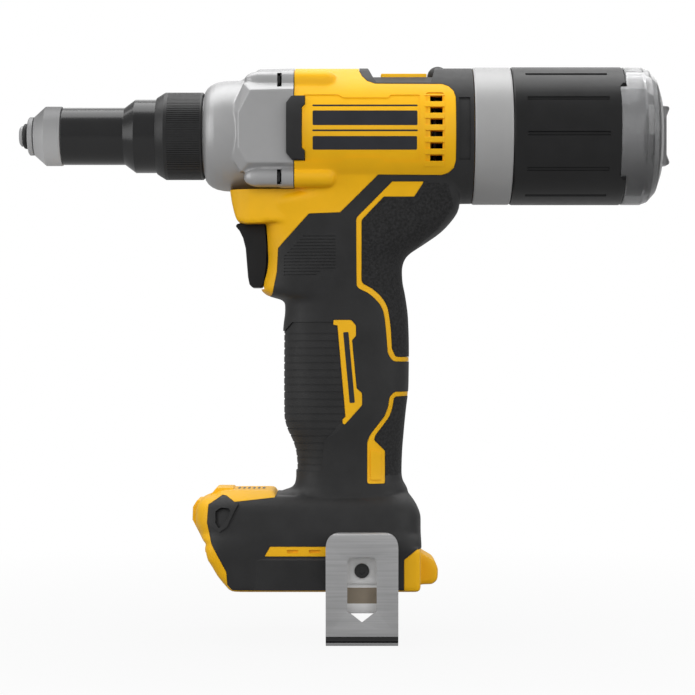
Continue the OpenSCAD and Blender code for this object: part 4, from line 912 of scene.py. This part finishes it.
GRIP_PLATE = rounded([
    (147.3, -86.4), (155.8, -86.4), (157.9, -89.2), (157.9, -93.9), (156.1, -95.8), (158.2, -118.0),
    (160.7, -120.2), (160.7, -125.8), (152.7, -134.8), (151.6, -134.4), (151.6, -132.3), (152.9, -131.0),
    (149.2, -89.1), (147.3, -88.8)
], [0.6, 2.4, 2.0, 1.2, 0.8, 0.8, 1.5, 1.5, 0.6, 0.5, 0.5, 0.4, 0.4, 0.4], 4)
FOOT_STRIP = rounded([(116.0, -194.4), (118.6, -189.8), (146, -189.8), (146, -194.4)], 0.5, 3)
RIB_ZONE = [
    (105, -91.4), (124.6, -91.4), (128.3, -87.4), (147.2, -87.4), (147.9, -88.9), (149.6, -89.4),
    (153.2, -130.7), (152.0, -132.0), (151.9, -133.4), (149.4, -135.6), (143.0, -142.4), (142.0, -156.6),
    (105, -156.6)
]
RIB_RIM = [(128, -133.0), (151.0, -133.0), (149.4, -135.6), (143.0, -142.4), (142.0, -156.6), (128, -156.6)]
RIB_RIM_TOP = [
    (128, -133.0), (152.2, -133.9), (150.8, -136.8), (144.8, -143.2), (143.9, -156.6), (128, -156.6)
]
FINE_ZONE = [
    (134.6, -46.7), (148.4, -47.4), (148.4, -62.9), (142.4, -63.2), (139.4, -65.8), (124.4, -66.4),
    (124.7, -56.9)
]
STIPPLE_ZONE = [
    (189.6, -23.2), (200, -24), (203, -34), (196, -44), (184, -54.5), (179.6, -64), (180.5, -74),
    (190, -86), (190, -104), (175.4, -104), (173.6, -100), (173.0, -91), (171.6, -81), (168.0, -76),
    (164.0, -73), (159.4, -70.4), (159.4, -41.2), (169.6, -30.2), (185, -30.2)
]
LOWER_STIPPLE_ZONE = [
    (190, -121.4), (175.2, -121.4), (173.6, -128.4), (171.6, -133), (166, -139.6), (165.8, -142),
    (171.2, -147.4), (171.2, -158), (190, -158)
]
LUG = [
    (90.3, -171.4), (94.7, -168.3), (100.4, -167.5), (104.2, -170.3), (102.1, -174.1), (99.0, -181.0),
    (95.2, -183.6), (90.3, -179.6)
]
LUG_POCKET = [
    (93.5, -174.1), (96.0, -172.4), (99.6, -172.7), (100.4, -173.8), (99.0, -177.5), (95.2, -181.9),
    (93.6, -179.4)
]
LABEL_FIELD = [
    (133.6, 16.5), (149.6, 16.5), (151.9, 15.0), (172.4, 15.0), (173.8, 16.4), (187.0, 16.4),
    (187.0, -14.1), (171.0, -14.1), (169.6, -12.3), (152.8, -12.3), (150.6, -14.1), (133.6, -14.1)
]
BUMPER = [
    (125.9, 12.6), (128.2, 15.8), (134.3, 15.8), (134.3, 12.0), (132.9, 10.4), (132.9, -8.2), (134.3, -9.5),
    (134.3, -13.6), (128.6, -13.6), (125.9, -10.4)
]

# Clamshell screws: x, z and the depth of the seat.
SCREW_SPOTS = [
    (160.06, -36.03, 12.9), (187.99, -38.02, 12.9), (166.23, -78.26, 11.3), (139.48, -96.62, 11.3),
    (167.7, -119.57, 11.3), (150.06, -157.06, 11.3), (104.24, -177.14, 19.5), (180.53, -180.46, 19.5)
]

WINDOWS = [UPPER_STRIPE, LOWER_STRIPE, GRIP_PLATE, FOOT_STRIP]
FAR, NEAR = -70, -PARTING
TOP_LEVEL = 26.9
FOOT_BASE = -209.9
REAR_BORE_R = 26.0
VENT_PITCH = 5.45
BOSS_R = 4.0
KNOB_R = 4.9
KNOB_X, KNOB_Z = 196.2, 27.8
KNOB_STRETCH = 1.35

# Surfaces below or above the soft skin's own, floors above the core, and gaps between the colours.
YELLOW_SINK = 0.15
PRINT_SINK = 0.05
RIB_SINK = 0.6
PAD_RISE = 0.5
LUG_RISE = 0.9
RIB_FLOOR = 0.1
FINE_FLOOR = 0.6
SKIN_GAP = 0.18
WINDOW_GAP = 0.16


def left_prism(name, outline):
    return prism(name, outline, FAR, NEAR)


def left_half(obj, rear):
    return common(obj, block("left_side", (0, FAR, -300), (rear, NEAR, 100)))


def barrel_band(name, x0, x1, inner, outer, steps=200):
    """A round band about the pull axis, to shape what lies on the barrel."""
    return lathe(name, [(x0, inner), (x0, outer), (x1, outer), (x1, inner)], steps)


def body_ring(front, back, half, power, z, rise=0.0, count=64):
    """One level of the body, a skin's thickness inside the outline in the tables."""
    at = z + rise
    return squarish(
        smooth_value(front, at) + SKIN, smooth_value(back, at) - SKIN, smooth_value(half, at) - SKIN,
        smooth_value(power, z), z, count
    )


def body_form():
    """The housing's outer form, a skin's thickness inside its surface, with moulded fillets."""
    grip_levels = [-14.0 - 2.0 * i for i in range(78)]
    form = loft("body_form", [body_ring(FRONT, BACK, HALF, POWER, z) for z in grip_levels])
    foot_levels = [-166.0 - 0.75 * i for i in range(59)]
    foot_rings = [body_ring(FOOT_FRONT, FOOT_BACK, FOOT_HALF, FOOT_POWER, z, 1, 128) for z in foot_levels]
    foot_rings.append([(x, y, FOOT_BASE) for x, y, z in foot_rings[-1]])
    foot = loft("foot_form", foot_rings)
    cut(foot, prism("throat_dip", [(119.4, -150), (119.6, -168.6), (131, -168.6), (131, -150)], -40, 40))
    add(form, foot)
    add(form, rod("barrel_form", BARREL_R, SHELL_FRONT - 2, SHELL_REAR + 2, 0, 0, 160))
    hood = prism("hood_form", rounded([
        (100.0, -14), (100.0, -25.5), (100.8, -31), (102.0, -36.2), (103.4, -40.2), (107, -41.0),
        (132, -40.4), (132, -14)
    ], 1.5), -30, 30)
    plan = [(99, 8), (100.5, 11.5), (104, 14.3), (109, 16.4), (116, 17.8), (133, 18.4)]
    plan = plan + [(x, -y) for x, y in reversed(plan)]
    add(form, common(hood, loft("hood_plan", [[(x, y, z) for x, y in plan] for z in (-60, 0)])))
    for spot in CASE_SPOTS:
        end = [(144.2 + BOSS_R * sin(a), BOSS_R * cos(a)) for a in QUARTER_TURN]
        end[-1] = (148.2, 0)
        add(form, lathe("shell_boss", [(127, 0), (127, BOSS_R)] + end, 40, spot))
    add(form, block("heel_wall", (178, -31, FOOT_BASE), (186.4, 31, -191.5)))
    add(form, prism("heel_tab", rounded([
        (180, -194), (186.6, -194.4), (193.4, -198.4), (195.2, -202), (195.0, -206.8), (193.2, -208.4),
        (180, -208.8)
    ], 1.0), -11.5, 11.5))
    return remeshed(form, voxel=0.85, passes=5)


def flat_top(obj, height, margin=0.0):
    """Cuts the low saddle on top of the barrel, wider by a margin."""
    outline = rounded([
        (163.2, 60), (163.4, 31), (165.2, 26.4), (168.6, 20), (191.5, 20), (193.4, 26.4), (194.6, 31),
        (194.8, 60)
    ], 1.5, 4)
    saddle = prism("top_flat", inset(outline, -margin), -40, 40)
    half = [(-40, 60), (-40, 22.6), (-21, 22.6), (-14.5, 26.0)]
    across = half + [(0, TOP_LEVEL)] + [(-y, z) for y, z in reversed(half)]
    lower = TOP_LEVEL - height
    common(saddle, loft("top_section", [[(x, y, z - lower) for y, z in across] for x in (150, 210)]))
    return cut(obj, saddle)


def hollow(shell):
    """Room for the drive, the trigger, the lamp and the board."""
    cut(shell, rod("front_cavity", 28.6, 100, 151.8, 0, 0, 128))
    cut(shell, rod("rear_cavity", REAR_BORE_R, 140, 218, 0, 0, 128))
    cut(shell, block("case_room", (80, -60, -26.0), (SHELL_FRONT, 60, 60)))
    cut(shell, rod("case_round_room", 26.3, 80, SHELL_FRONT, 0, 0, 128))
    for y, z in CASE_SPOTS:
        if z < 0:
            cut(shell, rod("boss_room", 5.3, 95, SHELL_FRONT, y, z, 48))
        cut(shell, rod("case_screw_bore", 2.05, 120, 139.5, y, z, 32))
    cut(shell, block("rear_trim", (SHELL_REAR, -60, -60), (230, 60, 60)))
    cut(shell, block("trigger_room", (90, -8.85, -72.0), (127.3, 8.85, -39.6)))
    cut(shell, block("switch_room", (127.2, -9.4, -71.1), (150.2, 9.4, -40.5)))
    cut(shell, block("lamp_room", (70, -7.8, -179.4), (98, 7.8, -173.1)))
    cut(shell, block("board_room", (112.5, -24, -190.6), (171.8, 24, -187.9)))
    seat = prism("bumper_seat", inset(BUMPER, -0.25), -60, -20)
    cut(shell, common(seat, barrel_band("seat_depth", 120, 140, 28.6, 70, 160)))


def battery_room(part):
    cut(part, block("rail_room", (70, -27.5, -206.6), (177.3, 27.5, -192.9)))
    cut(part, block("battery_room", (70, -24.5, -220), (177.3, 24.5, -206.0)))
    cut(part, pin("hook_insert_bore", 3.25, -60, -27.5, HOOK_SCREW_X, HOOK_SCREW_Z))


def cut_vents(shell):
    """A sunk field behind the label, and the ribbed air vents beside it."""
    field = barrel_band("label_field", 130, 188, 31.15, 36)
    cut(shell, common(field, left_prism("field_outline", rounded(LABEL_FIELD, 0.8, 3))))
    pocket = barrel_band("vent_pocket", 186, 200, 30.9, 36)
    cut(shell, common(pocket, left_prism("vent_outline", rounded([
        (189.6, -15.4), (198.2, -15.4), (198.2, 17.6), (189.6, 17.6)
    ], 1.6, 4))))
    ribs = bars("vent_ribs", 7, (193.6, -30, -15.3), (0, 0, VENT_PITCH), (9.4, 6, 2.5), yellow)
    common(ribs, barrel_band("rib_skin", 186, 200, 30.3, 31.75))
    common(ribs, left_prism("rib_outline", rounded([
        (188.8, -17.2), (198.6, -17.2), (198.6, 19.4), (188.8, 19.4)
    ], 1.0, 3)))
    add(shell, bevelled(ribs, 0.35, 2))
    cut(shell, bars("vent_slots", 6, (194.5, -30, -12.58), (0, 0, VENT_PITCH), (5.7, 30, 2.7), yellow))


def left_shell(form, core, yellow_out):
    """The yellow half: the surface outside the soft skin, the core under it and what shows through it."""
    shell = copy_of(yellow_out, "left_shell")
    cut(shell, prism("skin_area", inset(SKIN_AREA, -SKIN_GAP), -90, 90))
    add(shell, core, keep=True)
    inlays = copy_of(yellow_out, "inlays")
    common(inlays, joined(left_prism("window", inset(outline, WINDOW_GAP)) for outline in WINDOWS))
    add(shell, inlays)
    pad = rounded([(164.6, -146.4), (169.4, -148.0), (169.4, -160.2), (164.6, -160.2)], 0.8, 3)
    add(shell, common(grown(form, "stripe_pad", SKIN + PAD_RISE), left_prism("pad_outline", pad)))
    add(shell, bevelled(block("top_plate", (169.4, -13, 24.6), (190.6, 13, 27.9)), 0.4, 2))
    left_half(shell, 320)
    hollow(shell)
    battery_room(shell)
    cut_vents(shell)
    cut(shell, bars("strip_slots", 2, (128.9, -38.3, -192.1), (10.0, 0, 0), (5.0, 15.4, 1.5), yellow))
    return shell


def rim_level(y, outline):
    """The rib rim at a depth. Its lower end lies further in."""
    return [(x, y + (0.45 if z < -140 else 0), z) for x, z in outline]


def cut_ribs(skin, form):
    """Broad finger ribs at the front of the grip, with a tapered rim below them."""
    cut(skin, loft("rib_rim", [rim_level(y, outline) for y, outline in (
        (-30, RIB_RIM_TOP), (-19.95, RIB_RIM_TOP), (-19.25, RIB_RIM), (-19.1, RIB_RIM)
    )]))
    zone = left_prism("rib_zone", RIB_ZONE)
    cut(skin, zone, keep=True)
    ribs = common(grown(form, "rib_crests", SKIN - RIB_SINK), zone, keep=True)
    cut(ribs, bars("rib_grooves", 19, (130, -20, -92.9), (0, 0, -3.37), (60, 44, 0.8), ribbed))
    add(ribs, common(grown(form, "rib_floor", RIB_FLOOR), zone))
    add(skin, ribs)


def left_skin(form, core):
    """The soft skin: grip, barrel and foot in one moulding, cut back to the core."""
    skin = flat_top(grown(form, "left_soft_skin", SKIN), TOP_LEVEL)
    low_skin = grown(form, "low_skin", FINE_FLOOR)
    add(skin, loft("foot_block", [squarish(100.6, 186, half, 6, z, 96) for z, half in (
        (-209.8, 33.0), (-196.0, 33.0), (-195.2, 32.4), (-194.8, 31.4)
    )]))
    lug = grown(form, "lug", SKIN + LUG_RISE)
    add(skin, common(lug, left_prism("lug_outline", rounded(LUG, 0.9, 3))))
    pocket = left_prism("lug_pocket", rounded(LUG_POCKET, 0.6, 3))
    cut(skin, cut(pocket, low_skin, keep=True))
    half_turn = [radians(t) for t in range(0, 181, 9)]
    knob = lathe("top_knob", [(-KNOB_R * cos(a), KNOB_R * sin(a)) for a in half_turn], 48)
    for v in knob.data.vertices:
        v.co = (v.co.x + KNOB_X * MM, v.co.y * KNOB_STRETCH, v.co.z + KNOB_Z * MM)
    add(skin, knob)
    cut_ribs(skin, form)
    lines = bars("fine_grooves", 13, (136, -30, -47.9), (0, 0, -1.48), (40, 60, 0.5), ribbed)
    common(lines, left_prism("fine_zone", FINE_ZONE))
    cut(skin, cut(lines, low_skin))
    common(skin, left_prism("skin_area", SKIN_AREA))
    for outline in WINDOWS:
        cut(skin, prism("window", outline, FAR, -FAR))
    cut(skin, core, keep=True)
    left_half(skin, SHELL_REAR)
    cut(skin, rod("rear_opening", REAR_BORE_R, 190, 218, 0, 0, 96))
    panel = barrel_band("collar_panel", 204.9, 210.0, 31.1, 36, 160)
    cut(skin, common(panel, block("panel_height", (200, FAR, -13.4), (215, NEAR, 15.2))))
    cut(skin, block("top_plate_room", (169.1, -13.3, 20), (190.9, 13.3, 40)))
    battery_room(skin)
    return skin


def make_housing():
    form = body_form()
    yellow_out = flat_top(grown(form, "yellow_surface", SKIN - YELLOW_SINK), TOP_LEVEL)
    add(yellow_out, bevelled(prism("nose_guard", NOSE_GUARD, -11, 11), 0.5, 2))
    core = flat_top(copy_of(form, "body_core"), height=26.4, margin=0.7)
    shell = left_shell(form, core, yellow_out)
    skin = left_skin(form, core)
    right_shell = mirrored(shell, "right_shell")
    right_skin = mirrored(skin, "right_soft_skin")
    for x, z, seat in SCREW_SPOTS:
        for part in (right_shell, right_skin):
            cut(part, pin("screw_well", 3.3, seat, 60, x, z))
    for part, side in ((shell, "left"), (right_shell, "right")):
        dress(softened(part, 32), "housing", "yellow_plastic", [side + "_clamshell"], yellow)
    for part, side in ((skin, "left"), (right_skin, "right")):
        dress(
            softened(part, 32), "housing", "black_rubber",
            [side + "_grip_overmould", side + "_barrel_overmould", side + "_foot_overmould"],
            soft, stippled, ribbed
        )
        for area in (STIPPLE_ZONE, LOWER_STIPPLE_ZONE):
            paint_area(part, stippled, area)
        for area in (RIB_ZONE, FINE_ZONE):
            paint_area(part, ribbed, area)

    grip_bar = grown(core, "left_grip_bar", SKIN - PRINT_SINK)
    common(grip_bar, left_prism("bar_outline", rounded([
        (151.9, -92.2), (154.3, -92.0), (157.3, -124.6), (154.9, -124.8)
    ], 0.5, 3)))
    cut(grip_bar, yellow_out, keep=True)
    top_bars = grown(core, "foot_top_bars", SKIN - PRINT_SINK)
    common(top_bars, bars("top_bars", 6, (103.2, 0, -165), (2.3, 0, 0), (1.1, 10, 6), label))
    cut(top_bars, yellow_out, keep=True)
    for part in (grip_bar, mirrored(grip_bar, "right_grip_strip"), top_bars):
        dress(softened(part), "housing", "black_plastic", [], label)
    drop(form, core, yellow_out)

    head = pin("clamshell_screw_shape", 2.9, 0.1, 2.4, 0, 0, 32)
    cut(head, pin("star_socket", 1.35, 1.2, 4, 0, 0, 6))
    add(head, pin("shank", 1.45, -20, 0.2, 0, 0, 24))
    seats = [(x, seat, z) for x, z, seat in SCREW_SPOTS]
    screws = copies_at("clamshell_screws_set", head, seats, black_steel)
    dress(softened(screws), "housing", "black_steel", ["clamshell_screws"], black_steel)


def make_bumpers():
    pads = []
    for side in (-1, 1):
        pad = prism("side_bumpers_soft", rounded(BUMPER, 0.5, 3), *span(side, 20, 40))
        common(pad, barrel_band("bumper_round", 129.3, 140, 28.7, 32.4))
        wing = prism("bumper_wing", rounded(BUMPER, 0.5, 3), *span(side, 27.7, 40))
        common(wing, rod("wing_round", 32.4, 120, 129.35, 0, 0, 200))
        pads.append(bevelled(add(pad, wing), 0.5, 3))
    dress(softened(joined(pads)), "housing", "black_rubber", ["side_bumpers"], soft)


def make_trigger():
    outline = [
        (115.6, -40.9), (106.5, -40.6), (102.4, -41.6), (101.7, -42.6), (103.6, -44.9), (105.2, -48.2),
        (106.4, -53), (106.9, -59), (107.5, -66.4), (108.2, -69.8), (109.5, -71.2), (113.6, -71.2),
        (115.2, -69.2), (116.2, -61), (116.6, -52)
    ]
    blade = bevelled(prism("trigger_blade", rounded(outline, 0.8, 3), -8.4, 8.4), 1.1, 4)
    add(blade, block("trigger_tail", (113.3, -5.9, -64.9), (119.7, 5.9, -46.7)))
    add(blade, rod("trigger_plunger", 2.5, 118.7, 133.7, 0, -55.8, 40))
    dress(softened(blade), "trigger", "black_plastic", ["trigger"], black_plastic)


# Belt hook.

def thick_line(path, thickness):
    """The outline of a sheet that follows a path."""
    left, right = [], []
    for i, point in enumerate(path):
        p = Vector(point)
        before = Vector(path[max(0, i - 1)])
        after = Vector(path[min(len(path) - 1, i + 1)])
        along = (after - before).normalized()
        aside = Vector((-along.y, along.x)) * (thickness / 2)
        left.append(tuple(p + aside))
        right.append(tuple(p - aside))
    return left + right[::-1]


def behind_hook(poly):
    """Whether a face belongs to the plate behind the hook's front."""
    return poly.center.y > -40 * MM


def hook_band(low, high):
    """The hook's whole width between two levels."""
    return [(140, low), (180, low), (180, high), (140, high)]


def make_hook():
    path = [(-37.2, -219.4), (-37.2, -215.2), (-34.0, -208.2), (-34.0, -185.8)]
    path += [(-35.2 + HOOK_BEND * cos(a), -185.8 + HOOK_BEND * sin(a)) for a in QUARTER_TURN[1:]]
    path += [(-44.4 - HOOK_BEND * sin(a), -184.4 + HOOK_BEND * cos(a)) for a in QUARTER_TURN]
    path += [(-45.6, -228.8), (-45.2, -229.8), (-43.4, -231.2), (-43.2, -231.9), (-44.2, -232.6)]
    outline = thick_line(path, HOOK_THICKNESS)
    points = [(x, y, z) for x in (HOOK_FRONT, HOOK_BACK) for y, z in outline]
    hook = from_points("belt_hook_bent", points, bar_faces(len(outline)))
    sheet = rounded([
        (HOOK_FRONT, -240), (HOOK_BACK, -240), (HOOK_BACK, -182.2), (HOOK_FRONT, -182.2)
    ], 7.4, 10)
    common(hook, prism("hook_outline", sheet, -60, -20))
    for x0, x1 in ((140, 150.9), (169.9, 180)):
        cut(hook, block("leg_trim", (x0, -44.5, -226), (x1, -30, -180)))
    for x0, x1 in ((140, 152.9), (167.9, 180)):
        cut(hook, block("tail_trim", (x0, -39.2, -230), (x1, -30, -207.2)))
    slot = rounded([
        (153.8, -193.2), (167.0, -193.2), (167.0, -217.4), (160.4, -222.6), (153.8, -217.4)
    ], [3, 3, 1.2, 0.6, 1.2], 6)
    cut(hook, prism("hook_slot", slot, -60, -42))
    add(hook, bevelled(block("screw_plate", (153.4, -35.9, -206.4), (167.4, -34.5, -193.6)), 0.5, 2))
    cut(hook, pin("hook_screw_bore", 2.1, -38, -30, HOOK_SCREW_X, HOOK_SCREW_Z))
    bevelled(hook, 0.25, 2, 50)
    dress(
        softened(hook, 30), "housing", "hook_steel", ["belt_hook"],
        hook_steel, black_steel, back_leg_painted_light, jog_painted_shade_and_reflection
    )
    # Painted light on the back leg behind the hook's front plate.
    paint_area(hook, back_leg_painted_light, hook_band(-240, -180), behind_hook)
    # Painted shade and yellow reflection on the jog of the back leg.
    paint_area(hook, jog_painted_shade_and_reflection, hook_band(-215.0, -208.0), behind_hook)
    # Paints the band across the hook's lower bend black.
    paint_area(hook, black_steel, hook_band(-229.4, -231.7))

    screw = lathe("hook_screw_turned", rounded([
        (0, 0), (0, 3.2), (1.3, 3.4), (1.6, 3.4), (1.6, 2.0), (8.7, 2.0), (8.7, 0)
    ], 0.3, 2), 48)
    cut(screw, rod("hook_screw_socket", 1.6, -1, 0.9, 0, 0, 6))
    for v in screw.data.vertices:
        x, y, z = v.co
        v.co = (HOOK_SCREW_X * MM + y, HOOK_SCREW_HEAD * MM + x, HOOK_SCREW_Z * MM + z)
    tidy_mesh(screw.data)
    dress(softened(screw), "housing", "black_steel", ["hook_screw"], black_steel)


# Rear: grey ring, collector and end plug.

def make_rear():
    ring = lathe("rear_ring_moulded", rounded([
        (222.76, 3.65), (222.76, 17.1), (200.3, 17.1), (200.3, 25.9), (212.2, 25.9), (212.2, 31.7),
        (213.0, 32.1), (229.1, 32.1), (229.8, 31.7), (229.8, 26.5), (240.3, 26.5), (240.3, 26.1),
        (242.3, 26.1), (242.3, 26.5), (244.3, 26.5), (244.3, 24.5), (226.76, 24.5), (226.76, 3.65)
    ], 0.3, 3), 192)
    dress(softened(ring), "housing", "grey_plastic", ["rear_ring"], silver_ring)

    sleeve = lathe("collector_sleeve_moulded", rounded([
        (230.1, 30.25), (230.1, 31.9), (230.9, 32.25), (281.2, 32.25), (281.95, 31.8), (281.95, 30.25)
    ], 0.3, 3), 192)
    flute = lathe("flute", rounded([
        (236.0, 0), (236.0, 1.0), (273.8, 1.0), (273.8, 0)
    ], 0.6, 4), 20, (0, 32.35))
    cut(sleeve, grow_nodes(flute, RING, Count=12, Turn=radians(3), Material=black_plastic))
    for side in (-1, 1):
        cut(sleeve, prism("sleeve_window", rounded([
            (278.9, -20.6), (280.4, -22.4), (290, -22.4), (290, 22.4), (280.4, 22.4), (278.9, 20.6)
        ], 0.5, 3), *span(side, 22, 40)))
    dress(softened(sleeve, 30), "collector", "black_plastic", ["collector_sleeve"], black_plastic)

    cup = lathe("collector_cup_clear", rounded([
        (230.4, 28.15), (230.4, 30.1), (282.05, 30.1), (282.05, 32.2), (291.0, 32.2), (294.2, 31.0),
        (297.6, 27.2), (299.7, 20.9), (300.2, 9.5), (298.2, 9.5), (297.6, 20.2), (295.6, 26.6),
        (290.4, 28.15)
    ], 0.7, 5), 192)
    tabs = barrel_band("cup_tabs", 279.2, 282.6, 29.6, 32.1, 192)
    add(cup, common(tabs, block("tab_height", (270, -40, -20.3), (290, 40, 20.3))))
    dress(softened(cup, 40), "collector", "smoke_plastic", ["collector_cup"], smoke)

    plug = rod("collector_plug_clear", 9.35, 298.2, 300.3, 0, 0, 96)
    add(plug, lathe("plug_latch", rounded([
        (294.8, 0), (294.8, 11.0), (297.0, 11.4), (298.3, 8.0), (298.3, 0)
    ], 0.5, 3), 64))
    add(plug, lathe("plug_flange", rounded([
        (300.25, 0), (300.25, 9.9), (301.6, 9.9), (301.6, 0)
    ], 0.4, 3), 96))
    bar = rounded([
        (300.4, -14.0), (304.2, -13.6), (304.5, -12.4), (303.2, -9.0), (303.2, 9.0), (304.5, 12.4),
        (304.2, 13.6), (300.4, 14.0)
    ], 0.8, 4)
    add(plug, bevelled(prism("plug_bar", bar, -5.4, 5.4), 0.7, 3))
    dress(softened(plug, 30), "plug", "smoke_plastic", ["collector_plug"], smoke_plug)


def make_label_bars():
    """Plain printed bars in the label field of each side panel."""
    rows = (
        (137.9, 10.9, 185.9, 11.7), (138.0, 2.1, 185.8, 8.9), (137.9, -0.7, 185.9, 0.1),
        (138.0, -9.0, 185.6, -2.9)
    )
    for side, name in ((-1, "left"), (1, "right")):
        whole = joined(
            prism(
                name + "_label_bars", rounded([(x0, z0), (x1, z0), (x1, z1), (x0, z1)], 0.6, 3),
                *span(side, 10, 40)
            )
            for x0, z0, x1, z1 in rows
        )
        common(whole, barrel_band("label_skin", 130, 205, 30.9, 31.2, 256))
        dress(softened(whole), "housing", "black_plastic", [], label)


make_nose()
make_gear_case()
make_housing()
make_bumpers()
make_trigger()
make_hook()
make_rear()
make_label_bars()

carried = {
    "steel": steel, "black_steel": black_steel, "hook_steel": hook_steel, "cast_aluminium": cast,
    "black_rubber": soft, "black_plastic": black_plastic, "yellow_plastic": yellow,
    "grey_plastic": silver_ring, "smoke_plastic": smoke, "clear_plastic": clear, "copper": copper,
    "magnet": magnet, "brass": brass, "board": board,
}
slots = {part["node"]: part["material_slot"] for part in frame["record"]["subparts"]}
for name, obj in frame["nodes"].items():
    obj.data.materials.clear()
    obj.data.materials.append(carried[slots[name]])
